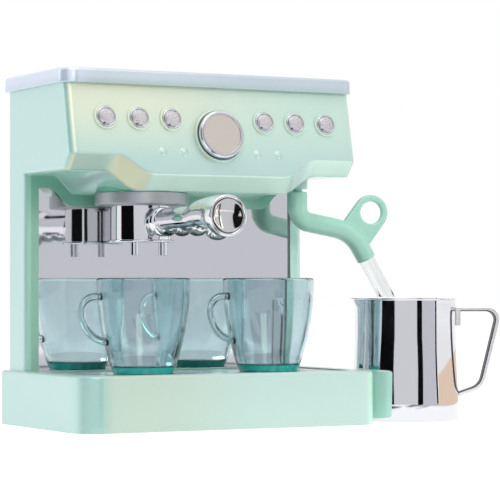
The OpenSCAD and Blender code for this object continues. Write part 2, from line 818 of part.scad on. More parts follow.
module milk_jug() {
    lip = 0.5;
    waist_r = jug_rim_r - 0.2;
    color(chrome) jug_place() difference() {
        union() {
            rotate_extrude() polygon([
                [0, 0], [jug_foot_r - 1, 0], [jug_foot_r - 0.3, 0.3], [jug_foot_r, 1], [jug_foot_r, 5],
                [jug_foot_r - 0.3, 14], [waist_r + 0.2, 26], [waist_r, 38], [jug_rim_r, jug_h - 1.2],
                [jug_rim_r + lip, jug_h - 0.8], [jug_rim_r + lip, jug_h - 0.2], [jug_rim_r + lip - 0.2, jug_h],
                [0, jug_h]
            ]);
            spout_beak(0);
        }
        rotate_extrude() polygon([
            [0, 1.5], [jug_foot_r - jug_wall - 1, 1.5], [jug_foot_r - jug_wall, 2.5], [jug_foot_r - jug_wall, 5],
            [jug_foot_r - jug_wall - 0.3, 14], [waist_r - jug_wall + 0.2, 26], [waist_r - jug_wall, 38],
            [jug_rim_r - jug_wall, jug_h - 1], [jug_rim_r - jug_wall, jug_h + 1], [0, jug_h + 1]
        ]);
        spout_beak(jug_wall);
    }
}

// Pouring beak, opposite the handle
module spout_beak(inset) {
    top = inset > 0 ? 1 : 0;
    hull() {
        translate([-jug_rim_r + 3, 0, jug_h - 9 + inset]) cylinder(r = 2.6 - inset, h = 1, $fn = 32);
        translate([-jug_rim_r - 1.2 + 2, 0, jug_h - 1 + top]) cylinder(r = 3.4 - inset, h = 1, $fn = 32);
        translate([-jug_rim_r + 6, 0, jug_h - 1 + top]) cylinder(r = 6 - inset, h = 1, $fn = 32);
    }
}

function arc(cx, cy, r, from, to, steps) =
    [for (i = [0:steps]) let (a = from + (to - from) * i / steps) [cx + r * cos(a), cy + r * sin(a)]];

// Bent strip handle; x runs out from the jug's axis, y is height
module jug_handle() {
    top_z = 42.2;
    corner_r = 5;
    low_r = 6.45;
    far = 36.3;
    lean = 13.6;
    low_x = 23.9;
    low_z = 17.5;
    root_z = 8.5;
    color(chrome) jug_place() translate([0, strip_w / 2, 0]) rotate([90, 0, 0]) linear_extrude(strip_w)
        difference() {
            polygon(concat(
                [[jug_rim_r - 0.1, top_z + strip_t / 2]],
                arc(far - corner_r, top_z + strip_t / 2 - corner_r, corner_r, 90, -lean, 8),
                arc(low_x, low_z, low_r + strip_t / 2, -lean, -71, 8),
                [[jug_foot_r - 0.2, root_z], [jug_foot_r - 0.2, root_z + 1.1 * strip_t]],
                arc(low_x, low_z, low_r - strip_t / 2, -71, -lean, 8),
                arc(far - corner_r, top_z + strip_t / 2 - corner_r, corner_r - strip_t, -lean, 90, 8),
                [[jug_rim_r + 1.7, top_z - strip_t / 2], [jug_rim_r + 1.7, 35.6], [jug_rim_r - 0.1, 35.6]]
            ));
            jug_half_section();
        }
}

// The jug's outer outline, which the handle's feet lie on
module jug_half_section() {
    waist_r = jug_rim_r - 0.2;
    polygon([
        [0, 0], [jug_foot_r, 1], [jug_foot_r, 5], [jug_foot_r - 0.3, 14], [waist_r + 0.2, 26],
        [waist_r, 38], [jug_rim_r, jug_h - 1.2], [0, jug_h]
    ]);
}

// ---------- fasteners ----------

module base_screws() {
    color(steel) for (p = base_posts) translate([p[0], p[1], 1.1]) screw(9, 2.2, 0.9);
}

module frame_screws() {
    color(steel) for (p = frame_posts) translate([p[0], p[1], tray_floor - wall]) screw(base_h - tray_floor + wall + 7, 2.2, 1.2);
}

module back_screws() {
    color(steel) for (p = back_posts) translate([p[0], body_back_y - 1, p[1]]) rotate([90, 0, 0]) screw(7.5, 2.1, 0.9);
}

module cover_screws() {
    color(steel) for (p = cover_posts) translate([p[0], p[1], lug_z - lug_t]) screw(lug_t + 4.8, 2.1, 1.1);
}

module collar_screws() {
    color(steel) for (a = collar_posts) group_place(a) translate([0, 0, belly_z + wall]) rotate([180, 0, 0])
        screw(belly_z + wall - collar_z - 3.9, 2.1, 1.1);
}

module control_screws() {
    color(steel) on_plate() for (p = control_posts)
        translate([p[0], p[1], -plate_gap - plate_t]) screw(plate_t + 4.8, 2.1, 1.1);
}

housing();
back_cover();
top_cover();
mirror_panel();
base_shell();
base_plate();
drip_tray();
control_plate();
button_rings();
button(0);  // button_1
button(1);  // button_2
button(2);  // button_3
button(3);  // button_4
button(4);  // button_5
button(5);  // button_6
spring(0);  // spring_1
spring(1);  // spring_2
spring(2);  // spring_3
spring(3);  // spring_4
spring(4);  // spring_5
spring(5);  // spring_6
dial_knob();
dial_face();
dial_clip();
group_collar();
portafilter_body();
portafilter_spouts();
portafilter_handle();
handle_cap();
steam_arm();
steam_tube();
arm_washer();
arm_screw();
cup(cup_left_x);  // cup_left
cup(cup_right_x);  // cup_right
milk_jug();
jug_handle();
base_screws();
frame_screws();
back_screws();
cover_screws();
collar_screws();
control_screws();
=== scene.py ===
"""Looks of a toy coffee maker with two cups and a milk jug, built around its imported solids."""
import math

import bmesh
import bpy
from bpy.props import FloatProperty, FloatVectorProperty, IntProperty, PointerProperty
from mathutils import Matrix, Vector
from mathutils.geometry import intersect_point_line


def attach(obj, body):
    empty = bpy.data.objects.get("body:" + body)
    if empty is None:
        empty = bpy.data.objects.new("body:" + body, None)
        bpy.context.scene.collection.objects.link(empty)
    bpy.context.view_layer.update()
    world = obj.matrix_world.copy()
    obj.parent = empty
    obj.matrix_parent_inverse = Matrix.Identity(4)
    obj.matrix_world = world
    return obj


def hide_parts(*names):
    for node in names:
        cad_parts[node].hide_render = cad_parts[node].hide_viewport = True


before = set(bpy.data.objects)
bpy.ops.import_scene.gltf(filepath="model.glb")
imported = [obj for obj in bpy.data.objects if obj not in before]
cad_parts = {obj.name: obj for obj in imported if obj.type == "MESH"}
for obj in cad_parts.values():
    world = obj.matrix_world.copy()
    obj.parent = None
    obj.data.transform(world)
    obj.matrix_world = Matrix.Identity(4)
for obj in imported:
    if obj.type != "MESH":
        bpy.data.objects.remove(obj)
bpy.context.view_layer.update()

bl_info = {
    "name": "Toy Coffee Maker",
    "version": (1, 0, 0),
    "blender": (4, 5, 0),
    "location": "3D View > Sidebar > Coffee Maker",
    "description": "Models and finishes a toy coffee maker with its cups and milk jug",
    "category": "Add Mesh",
}

MM = 0.001

# Places and sizes that the solids fix, in millimetres
BODY_HALF = 58.5
BODY_TOP = 123.2
BODY_BACK = 34.0
SEAM_Y = 32.0
BASE_TOP = 20.0
COLUMN_Y = 17.5
FACE_TOP_Y = -18.15
FACE_LEAN = math.radians(12)
FLANK_Z = 92.0
BELLY_DROP = 6.8
BELLY_Z = FLANK_Z - BELLY_DROP
FRONT_EDGE_Z = 98.0
BEVEL_BACK_Y = -18.506
WINDOW_HALF = 53.0
WINDOW_TOP = 87.3
BUTTON_XS = (-43.65, -30.65, -17.65, 20.35, 33.35, 46.35)
BUTTON_Z = 111.2
DIAL = (0.9, 105.5)
LAMP_XS = (-22.25, -13.65, 16.35, 24.95)
LAMP_Z = 99.2
GROUP = (-20.6, -2.0)
HANDLE_Z = 74.0
HANDLE_REACH = 68.5
ARM = (48.6, 4.0)
ARM_SWING = math.radians(-10)
TRAY_TOP = 19.5
TRAY_FLOOR = 18.0
CUP_Y = -10.4
CUP_XS = {"left": -23.9, "right": 27.8}
CUP_H = 34.6
CUP_R = 17.0
JUG = (86.0, -13.5)
JUG_TURN = math.radians(-24)
JUG_H = 46.5
COVER_TOP = 128.6
SEAM_GAP = 0.05
WINDOW_DROP = 6.6
WINDOW_ENDS = (49.0, 39.8)
WINDOW_LIP = 1.2


# ---------- colours and sizes ----------

def linear(code):
    """Linear RGB of an sRGB hex colour."""
    parts = [int(code[i:i + 2], 16) / 255 for i in (1, 3, 5)]
    return [c / 12.92 if c <= 0.04045 else ((c + 0.055) / 1.055) ** 2.4 for c in parts]


def tone(code):
    """The same with alpha, as a node takes it."""
    return [*linear(code), 1.0]


def length(name, text, mm):
    return FloatProperty(name=name, description=text, default=mm * MM, min=0, precision=5,
                         subtype="DISTANCE", unit="LENGTH")


def colour(name, text, code):
    return FloatVectorProperty(name=name, description=text, default=linear(code), min=0, max=1, size=3,
                               subtype="COLOR")


class CoffeeMakerSizes(bpy.types.PropertyGroup):
    wall: length("Wall", "Wall of the moulded shells", 1.8)
    face_corner: length("Face corner", "Radius where the control face meets the flanks", 3.0)
    flank_fillet: length("Flank fillet", "Radius along the lower edge of the flanks", 1.4)
    row_fillet: length("Row fillet", "Radius along the head's curved lower edges", 0.7)
    back_corner: length("Back corner", "Radius of the upright edges at the back", 2.8)
    column_corner: length("Column corner", "Radius of the columns' front corners", 3.0)
    cover_corner: length("Cover corner", "Radius of the cover's upright corners", 6.0)
    cover_edge: length("Cover edge", "Radius round the cover's top", 1.3)
    base_edge: length("Base edge", "Radius round the base's top", 1.2)
    small_edge: length("Small edge", "Softening of moulded edges", 0.3)
    rim_round: length("Rim rounding", "Rounding of the raised rims", 0.25)
    cup_wall: length("Cup wall", "Wall of a cup", 1.6)
    cup_floor: length("Cup floor", "Thickness of a cup's bottom", 2.5)
    arm_radius: length("Arm radius", "Radius of the steam arm", 3.75)
    turning_steps: IntProperty(name="Turning steps", description="Steps round a turned piece", default=96,
                               min=24)


class CoffeeMakerColours(bpy.types.PropertyGroup):
    mint: colour("Mint", "Housing and base", "#bcd6cb")
    # painted shade: the housing darker and cooler low down
    mint_low_shade: colour("Cool mint", "Lower part of the housing", "#abc9c5")
    # painted warm reflection at the head's upper left
    mint_warm_reflection: colour("Warm mint", "Upper left of the housing", "#d6dcc5")
    # painted shade on the upright corner between the left flank and the face
    mint_corner_shade: colour("Corner mint", "Upright corner between the left flank and the face", "#97c6bc")
    # painted warm reflection on the slopes that face left and forwards from below
    mint_gold_reflection: colour("Gold mint", "Slopes that face the left and the front from below", "#cbcfae")
    # painted light: brighter mint on the undersides and on the base's sides that face right
    mint_painted_light: colour("Deep mint", "Undersides", "#c6ffe8")
    # painted light on the left flanks
    mint_lit_flank: colour("Pale mint", "Left flank", "#bfe2da")
    # painted shade on the left part of the base's front
    mint_base_corner_shade: colour("Base mint", "Left corner of the base", "#9bc6be")
    # painted shade on the base's left corner
    mint_base_left_shade: colour("Sand mint", "Left part of the base's front", "#bccfc0")
    mint_mild: colour("Mild mint", "Right of the base", "#bcd6ce")
    # painted light on the band under the control face
    mint_strip_light: colour("Strip mint", "Band under the control face", "#d2f0e2")
    mint_shadow: colour("Shadow mint", "Left end of that band", "#9fbcaf")
    # painted shade: a dark line along the window's edge round the mirror
    gap: colour("Gap", "Edge round the mirror", "#4c7268")
    # painted shade on the columns' fronts
    mint_column_shade: colour("Column mint", "Fronts of the columns", "#8fc3ae")
    # painted light on the right column's front
    mint_right_column_light: colour("Right column mint", "Front of the right column", "#ccf4e8")
    # painted shade on the band over the window
    mint_arch_shade: colour("Arch mint", "Band over the window", "#68ad94")
    arm_mint: colour("Arm mint", "Steam arm", "#9fd0bf")
    lilac: colour("Lilac", "Top cover", "#c0cbd5")
    # the next four colours: painted light on the left of the cover's front and on its left end, painted shade
    # along the lower edges
    lilac_left_light: colour("Lilac left", "Left part of the cover's front", "#cdd6de")
    lilac_low_shade: colour("Lilac low", "Lower edge of the cover's front", "#b1c3c3")
    lilac_left_low_shade: colour("Lilac left low", "Lower edge of the cover's left end", "#cadce5")
    lilac_lit_end: colour("Pale lilac", "Left end of the top cover", "#dbe3f4")
    collar: colour("Collar", "Group collar", "#9a9fa6")
    chrome: colour("Chrome", "Plated pieces", "#e4e4e8")
    foil: colour("Foil", "Mirror panel", "#e7e7e9")
    tray: colour("Tray", "Drip tray", "#cfcfd3")
    champagne: colour("Champagne", "Dial face", "#c9bfb5")
    rose_silver: colour("Rose silver", "Button caps", "#d3cccf")
    cup: colour("Cup", "Tinted cups", "#8fd0d6")
    cup_floor: colour("Cup bottom", "Thick bottoms of the cups", "#2cbfb6")
    tube: colour("Tube", "Clear steam tube", "#fbfcfc")
    inside: colour("Inside", "Hidden plastic", "#8d9296")
    steel: colour("Steel", "Screws, springs and washer", "#a6a8ab")


def size(name):
    """A size property in millimetres."""
    return getattr(bpy.context.scene.coffee_maker_sizes, name) / MM


def hue(name):
    """A colour property with alpha, as a node takes it."""
    return [*getattr(bpy.context.scene.coffee_maker_colours, name), 1.0]


# ---------- modelling by hand ----------

def deselect():
    if bpy.context.mode != "OBJECT":
        bpy.ops.object.mode_set(mode="OBJECT")
    bpy.ops.object.select_all(action="DESELECT")


def only(*objs):
    deselect()
    for obj in objs:
        obj.select_set(True)
    bpy.context.view_layer.objects.active = objs[0]


def edit(obj):
    only(obj)
    bpy.ops.object.mode_set(mode="EDIT")
    bpy.ops.mesh.select_mode(type="VERT")


def leave():
    bpy.ops.object.mode_set(mode="OBJECT")


def named(name):
    obj = bpy.context.active_object
    obj.name = obj.data.name = name
    return obj


def vec(*mm):
    return Vector(mm) * MM


def pick_all():
    bpy.ops.mesh.select_all(action="SELECT")


def extrude(x, y, z):
    """In edit mode, extrude what is selected by so many millimetres."""
    bpy.ops.mesh.extrude_region_move(TRANSFORM_OT_translate={"value": vec(x, y, z)})


def duplicate(obj, name):
    only(obj)
    bpy.ops.object.duplicate(linked=False)
    return named(name)


def choose(obj, kind, test, facing=None):
    """In edit mode, select what lies wholly where test(point in mm) holds, and faces one way."""
    bpy.ops.mesh.select_mode(type=kind)
    bpy.ops.mesh.select_all(action="DESELECT")
    mesh = bmesh.from_edit_mesh(obj.data)
    for item in {"VERT": mesh.verts, "EDGE": mesh.edges, "FACE": mesh.faces}[kind]:
        corners = [item] if kind == "VERT" else item.verts
        if all(test(v.co / MM) for v in corners):
            if facing is None or item.normal.dot(Vector(facing)) > 0.9:
                item.select_set(True)
    bmesh.update_edit_mesh(obj.data)


def block(name, low, high):
    """A cube primitive between two corners."""
    deselect()
    low, high = Vector(low), Vector(high)
    bpy.ops.mesh.primitive_cube_add(size=1, location=(low + high) / 2 * MM)
    obj = named(name)
    obj.scale = (high - low) * MM
    bpy.ops.object.transform_apply(location=True, rotation=True, scale=True)
    return obj


def bevel(obj, test, width, segments=4):
    edit(obj)
    choose(obj, "EDGE", test)
    bpy.ops.mesh.bevel(offset=width * MM, segments=segments, affect="EDGES", clamp_overlap=True)
    leave()


def outline(name, points, closed=False):
    """A run of edges: one point extruded on to the next; a closed run is filled."""
    deselect()
    points = [Vector(p) for p in points]
    bpy.ops.mesh.primitive_plane_add(size=MM)
    obj = named(name)
    bpy.ops.object.mode_set(mode="EDIT")
    bpy.ops.mesh.select_mode(type="VERT")
    pick_all()
    bpy.ops.mesh.merge(type="CENTER")
    bpy.ops.transform.translate(value=points[0] * MM)
    for a, b in zip(points, points[1:]):
        bpy.ops.mesh.extrude_vertices_move(TRANSFORM_OT_translate={"value": (b - a) * MM})
    if closed:
        pick_all()
        bpy.ops.mesh.edge_face_add()
    leave()
    return obj


def clean(obj):
    edit(obj)
    pick_all()
    bpy.ops.mesh.remove_doubles(threshold=0.002 * MM)
    bpy.ops.mesh.dissolve_degenerate(threshold=0.001 * MM)
    pick_all()
    bpy.ops.mesh.normals_make_consistent(inside=False)
    leave()
    return obj


def turned(name, profile, steps=None, closed=False):
    """Spin a profile of (radius, height) round the upright axis through the origin."""
    points = [(r, 0, z) for r, z in profile]
    if closed:
        points.append(points[0])
    obj = outline(name, points)
    edit(obj)
    pick_all()
    bpy.ops.mesh.spin(steps=steps or bpy.context.scene.coffee_maker_sizes.turning_steps,
                      angle=2 * math.pi, center=(0, 0, 0), axis=(0, 0, 1))
    leave()
    return clean(obj)


def rounded(points, steps=4, closed=False):
    """Points (x, y) or (x, y, corner radius) of an outline, with an arc at each corner that has one."""
    made, count = [], len(points)
    for i, point in enumerate(points):
        here, radius = Vector(point[:2]), (point[2] if len(point) > 2 else 0)
        if not radius or (not closed and i in (0, count - 1)):
            made.append(tuple(here))
            continue
        u = (Vector(points[i - 1][:2]) - here).normalized()
        v = (Vector(points[(i + 1) % count][:2]) - here).normalized()
        half = u.angle(v) / 2
        centre = here + (u + v).normalized() * radius / math.sin(half)
        start = here + u * radius / math.tan(half) - centre
        end = here + v * radius / math.tan(half) - centre
        swing = start.angle_signed(end)
        for k in range(steps + 1):
            turn = -swing * k / steps
            c, s = math.cos(turn), math.sin(turn)
            made.append((centre.x + start.x * c - start.y * s, centre.y + start.x * s + start.y * c))
    return made


def curve(knots, at):
    """Value at a place on a smooth curve through (place, value) knots."""
    for i, ((s0, r0), (s1, r1)) in enumerate(zip(knots, knots[1:])):
        if at <= s1 or i == len(knots) - 2:
            before, after = knots[max(i - 1, 0)], knots[min(i + 2, len(knots) - 1)]
            span = s1 - s0
            t = min(max((at - s0) / span, 0), 1)
            m0 = (r1 - before[1]) / (s1 - before[0]) * span
            m1 = (after[1] - r0) / (after[0] - s0) * span
            return ((2 * t ** 3 - 3 * t ** 2 + 1) * r0 + (t ** 3 - 2 * t ** 2 + t) * m0 +
                    (3 * t ** 2 - 2 * t ** 3) * r1 + (t ** 3 - t ** 2) * m1)


def apply(obj, kind, **settings):
    """Add a modifier and apply it."""
    only(obj)
    made = obj.modifiers.new(kind.title(), kind)
    for key, value in settings.items():
        setattr(made, key, value)
    bpy.ops.object.modifier_apply(modifier=made.name)


def soften(obj, width, segments, angle):
    """Bevel every edge sharper than an angle in degrees."""
    apply(obj, "BEVEL", width=width * MM, segments=segments, limit_method="ANGLE",
          angle_limit=math.radians(angle))


def combine(obj, other, operation="DIFFERENCE"):
    """Boolean with another piece, which is used up."""
    apply(obj, "BOOLEAN", object=other, operation=operation, solver="EXACT")
    bpy.data.objects.remove(other)


def round_corners(obj, radius, segments, test=lambda p: True):
    """Bevel the upright edges where test holds."""
    edit(obj)
    bpy.ops.mesh.select_mode(type="EDGE")
    bpy.ops.mesh.select_all(action="DESELECT")
    mesh = bmesh.from_edit_mesh(obj.data)
    for e in mesh.edges:
        a, b = (v.co / MM for v in e.verts)
        e.select_set(near(a.x, b.x) and near(a.y, b.y) and test(a))
    bmesh.update_edit_mesh(obj.data)
    bpy.ops.mesh.bevel(offset=radius * MM, segments=segments, affect="EDGES")
    leave()


def put(obj, matrix):
    """Move a piece's mesh to its place."""
    only(obj)
    obj.matrix_world = matrix
    bpy.ops.object.transform_apply(location=True, rotation=True, scale=True)
    return obj


def copies(obj, matrices):
    """One object holding a copy of obj at each place."""
    name = obj.name
    made = [put(duplicate(obj, name), matrix) for matrix in matrices]
    bpy.data.objects.remove(obj)
    only(*made)
    if len(made) > 1:
        bpy.ops.object.join()
    return named(name)


def settle(obj, body, finishes, slot, *nodes, angle=32):
    """Finish a piece: shading, its finishes by name, the body it moves with and the solids it stands for."""
    only(obj)
    bpy.ops.object.shade_smooth_by_angle(angle=math.radians(angle))
    apply(obj, "WEIGHTED_NORMAL", keep_sharp=True)
    marks = [p.material_index for p in obj.data.polygons]
    obj.data.materials.clear()
    for finish in finishes.split():
        obj.data.materials.append(FINISHES[finish])
    for p, mark in zip(obj.data.polygons, marks):
        p.material_index = mark
    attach(obj, body)
    if nodes:
        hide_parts(*nodes)


def near(a, b, gap=0.02):
    """Whether two measures in millimetres are as good as the same."""
    return abs(a - b) < gap


def shift(x=0, y=0, z=0):
    return Matrix.Translation(vec(x, y, z))


def face_y(z):
    return FACE_TOP_Y - (BODY_TOP - z) * math.tan(FACE_LEAN)


def on_face(x, z):
    """Place on the control face: local Z points out of it."""
    return shift(x, face_y(z), z) @ Matrix.Rotation(math.pi / 2 - FACE_LEAN, 4, "X")


# ---------- materials ----------

FINISHES = {}
METAL = {"Metallic": 1.0}


def add_node(tree, kind, inputs=None, **settings):
    """Add one shader node with its settings; an input is a value or another node's output."""
    made = tree.nodes.new("ShaderNode" + kind)
    for key, value in settings.items():
        setattr(made, key, value)
    for key, value in (inputs or {}).items():
        if isinstance(value, bpy.types.NodeSocket):
            tree.links.new(value, made.inputs[key])
        else:
            made.inputs[key].default_value = value
    return made


def begin_material(name):
    made = bpy.data.materials.new(name)
    made.use_nodes = True
    made.node_tree.nodes.clear()
    return made, made.node_tree


def grain(tree, mm, detail):
    """Noise whose features are about that many millimetres across."""
    where = add_node(tree, "TexCoord").outputs["Object"]
    noise = add_node(tree, "TexNoise", {"Vector": where, "Scale": 1 / (mm * MM), "Detail": detail})
    return noise.outputs["Fac"]


def wander(tree, mm, detail, low, high):
    """A value that wanders over a range with a grain of that many millimetres."""
    spread = {"Value": grain(tree, mm, detail), "To Min": low, "To Max": high}
    return add_node(tree, "MapRange", spread).outputs["Result"]


def relief(tree, mm, detail, depth, strength):
    """Normals of a relief with a grain of that many millimetres; its depth is in millimetres too."""
    height = {"Height": grain(tree, mm, detail), "Distance": depth * MM, "Strength": strength}
    return add_node(tree, "Bump", height).outputs["Normal"]


def mask(tree, along, low, high):
    """0 to 1, softly, between two places in millimetres along an axis, or as the surface turns one way."""
    if isinstance(along, str):
        where = add_node(tree, "TexCoord").outputs["Object"]
        value = add_node(tree, "SeparateXYZ", {"Vector": where}).outputs[along]
        low, high = low * MM, high * MM
    else:
        turn = {0: add_node(tree, "NewGeometry").outputs["Normal"], 1: Vector(along).normalized()}
        value = add_node(tree, "VectorMath", turn, operation="DOT_PRODUCT").outputs["Value"]
    step = {"Value": value, "From Min": low, "From Max": high}
    return add_node(tree, "MapRange", step, interpolation_type="SMOOTHSTEP").outputs["Result"]


def lay(tree, below, above, *masks):
    """One colour laid over another where every mask holds."""
    share = masks[0]
    for other in masks[1:]:
        share = add_node(tree, "Math", {0: share, 1: other}, operation="MULTIPLY").outputs[0]
    return add_node(tree, "Mix", {"Factor": share, 6: below, 7: above}, data_type="RGBA").outputs[2]


def surface(tree, base, rough, bump=None, more=None):
    """The outside of a material. rough holds a grain in millimetres, its detail, and the lowest and highest
    roughness; bump a grain, its detail, and the relief's depth in millimetres and strength."""
    inputs = {"Base Color": base, "Roughness": wander(tree, *rough)}
    if bump:
        inputs["Normal"] = relief(tree, *bump)
    inputs.update(more or {})
    shader = add_node(tree, "BsdfPrincipled", inputs)
    add_node(tree, "OutputMaterial", {"Surface": shader.outputs["BSDF"]})


def plain_finish(name, base, rough, bump=None, more=None):
    """A material of one colour, with the rest as surface takes it."""
    material, tree = begin_material(name)
    surface(tree, base, rough, bump, more)
    return material


def pearl_mint_abs():
    """Moulded ABS with pearl pigment: a soft wide gloss from the mica flakes and a thin sharp one from the
    polished mould.
    Its mint carries painted light and shade: cream at the top left is a painted warm reflection, the cooler
    green low down is painted shade, and the base, slopes, flanks, columns and window edge carry painted
    patches too."""
    material, tree = begin_material("pearl_mint_abs")
    # painted shade low on the housing, then a painted warm reflection at its upper left
    body = lay(tree, hue("mint_low_shade"), hue("mint"), mask(tree, "Z", 88, 112))
    body = lay(tree, body, hue("mint_warm_reflection"), mask(tree, "X", 48, -42), mask(tree, "Z", 95, 119))
    # painted shade on the left part of the base's front, fading to the plain base mint on the right
    foot = lay(tree, hue("mint_base_left_shade"), hue("mint_mild"), mask(tree, "X", -35, 10))
    # painted shade on the base's left corner
    foot = lay(tree, foot, hue("mint_base_corner_shade"), mask(tree, "X", -47, -54))
    # painted light on the base's sides that face right
    foot = lay(tree, foot, hue("mint_painted_light"), mask(tree, (1, -0.35, 0), 0.55, 0.9))
    body = lay(tree, body, foot, mask(tree, "Z", 24, 18))
    head = mask(tree, "Y", -10, -18), mask(tree, "Z", 60, 80)
    # painted light on the band under the control face, with painted shade at its left end
    strip = lay(tree, hue("mint_shadow"), hue("mint_strip_light"), mask(tree, "X", -46, -30))
    body = lay(tree, body, strip, *head, mask(tree, (0, -0.77, -0.64), 0.9, 0.98))
    # painted warm reflection on the slopes that face left and forwards from below
    body = lay(tree, body, hue("mint_gold_reflection"), *head, mask(tree, (-0.5, -0.62, -0.6), 0.86, 0.97))
    # painted light on the undersides
    body = lay(tree, body, hue("mint_painted_light"), mask(tree, (0, 0, -1), 0.8, 1.0))
    # painted light on the left flanks
    body = lay(tree, body, hue("mint_lit_flank"), mask(tree, (-1, 0, 0), 0.75, 0.95), mask(tree, "X", -50, -56))
    # painted shade on the upright corner between the left flank and the face
    body = lay(tree, body, hue("mint_corner_shade"), mask(tree, (-0.74, -0.65, -0.18), 0.86, 0.97),
               mask(tree, "Z", 90, 96), mask(tree, "X", -50, -54))
    # painted shade on the columns' fronts and the band over the window, with painted light on the right
    # column's front
    column = lay(tree, hue("mint_column_shade"), hue("mint_right_column_light"), mask(tree, "X", 20, 40))
    recess = lay(tree, column, hue("mint_arch_shade"), mask(tree, "Z", 70, 88))
    body = lay(tree, body, recess, mask(tree, (0, -1, 0), 0.5, 0.95), mask(tree, "Y", 15.5, 17.2))
    # painted shade: a dark line on the window's lip round the mirror
    body = lay(tree, body, hue("gap"), mask(tree, "Y", 17.5, 17.8), mask(tree, "Y", 21.5, 21),
               mask(tree, "X", 54.5, 54), mask(tree, "X", -54.5, -54))
    flaked = lay(tree, body, tone("#ffffff"), wander(tree, 0.35, 1, 0, 0.1))
    surface(tree, flaked, (9, 2, 0.3, 0.38), (14, 1, 0.25, 0.12),
            {"Metallic": 0.25, "Coat Weight": 0.6, "Coat Roughness": 0.12})
    return material


def satin_mint_abs():
    """Satin-moulded ABS of the steam arm: even, softly shining green without the flake."""
    material, tree = begin_material("satin_mint_abs")
    tint = lay(tree, hue("arm_mint"), tone("#c0e4d6"), wander(tree, 6, 2, 0, 0.25))
    surface(tree, tint, (1.2, 2, 0.3, 0.37), (0.5, 2, 0.02, 0.15),
            {"Metallic": 0.1, "IOR": 1.53, "Coat Weight": 0.25, "Coat Roughness": 0.16})
    return material


def shaded_mint_abs():
    """The housing's ABS with painted shade: the deep green between the collar and the head's underside."""
    return plain_finish("shaded_mint_abs", hue("mint_arch_shade"), (9, 2, 0.4, 0.5), (14, 1, 0.2, 0.1),
                        {"Metallic": 0.1})


def lacquered_lilac_abs():
    """ABS lacquered in a metallic lilac: a broad soft shine, with painted shade darker and greener along the
    lower edge and painted light on the left of the front and on the left end.
    """
    material, tree = begin_material("lacquered_lilac_abs")
    # painted shade along the lower edges, painted light on the left of the front and on the left end
    low = mask(tree, "Z", BODY_TOP + 3.2, BODY_TOP)
    front = lay(tree, hue("lilac_left_light"), hue("lilac"), mask(tree, "X", -30, 15))
    front = lay(tree, front, hue("lilac_low_shade"), low)
    left = lay(tree, hue("lilac_lit_end"), hue("lilac_left_low_shade"), low)
    body = lay(tree, front, left, mask(tree, "X", -45, -60))
    flaked = lay(tree, body, tone("#e8ecf6"), wander(tree, 0.3, 1, 0, 0.12))
    surface(tree, flaked, (8, 2, 0.26, 0.32), (12, 1, 0.2, 0.1),
            {"Metallic": 0.45, "Coat Weight": 0.5, "Coat Roughness": 0.1})
    return material


def satin_metal_paint(name, tint, mm, low, high, metallic=0.85):
    """Metallic paint over moulded plastic: fine flakes that blur what it reflects."""
    material, tree = begin_material(name)
    flaked = lay(tree, tint, tone("#f6f5f8"), wander(tree, mm, 1, 0, 0.18))
    surface(tree, flaked, (mm, 1, low, high), (mm, 1, 0.01, 0.1), {"Metallic": metallic})
    return material


def vacuum_chrome():
    """Plastic plated by vacuum: a hard mirror with the faint waviness of the moulding below it."""
    return plain_finish("vacuum_chrome_plastic", hue("chrome"), (2.5, 2, 0.03, 0.07), (9, 1, 0.15, 0.12),
                        METAL)


def lobe_shade_chrome():
    """Chrome with painted shade on the finger lobes: a darker mirror."""
    return plain_finish("chrome_with_painted_lobe_shade", tone("#767d80"), (2.5, 2, 0.08, 0.14), (7, 1, 0.1, 0.1), METAL)


def champagne_plating():
    """Plated plastic under a faint warm lacquer: a mirror that turns what it reflects slightly beige."""
    return plain_finish("champagne_plated_plastic", tone("#e9e6e4"), (2.5, 2, 0.05, 0.09), (7, 0, 0.08, 0.06),
                        METAL)


def mirror_foil():
    """Polished foil on a flat panel: a grey mirror, a little soft."""
    return plain_finish("polished_mirror_foil", hue("foil"), (4, 2, 0.03, 0.06), (30, 0, 0.1, 0.05), METAL)


def tumbled_steel():
    """Strip steel polished by tumbling: bright, with a wide soft shine instead of a mirror's."""
    return plain_finish("tumbled_strip_steel", tone("#f3f3f6"), (0.8, 2, 0.2, 0.28), (5, 1, 0.05, 0.1), METAL)


def painted_edge_reflection():
    """Painted dark reflection along the strip's inner edge: dark grey, with fine lines that read as a dark
    seam along the polished face.
    """
    return plain_finish("strip_edge_painted_reflection", tone("#4c4d52"), (0.25, 2, 0.35, 0.55), (0.25, 2, 0.02, 0.3),
                        {"Metallic": 0.6})


def zinc_steel():
    """Bright zinc-plated steel of screws and springs: grey, with a shine broken by the crystals."""
    return plain_finish("zinc_plated_steel", hue("steel"), (0.4, 2, 0.28, 0.4), None, METAL)


def inner_abs():
    """Unpainted grey ABS inside the head: matte, with the mould's fine texture."""
    return plain_finish("grey_inner_abs", hue("inside"), (0.6, 2, 0.5, 0.62), (0.6, 2, 0.02, 0.2),
                        {"IOR": 1.53})


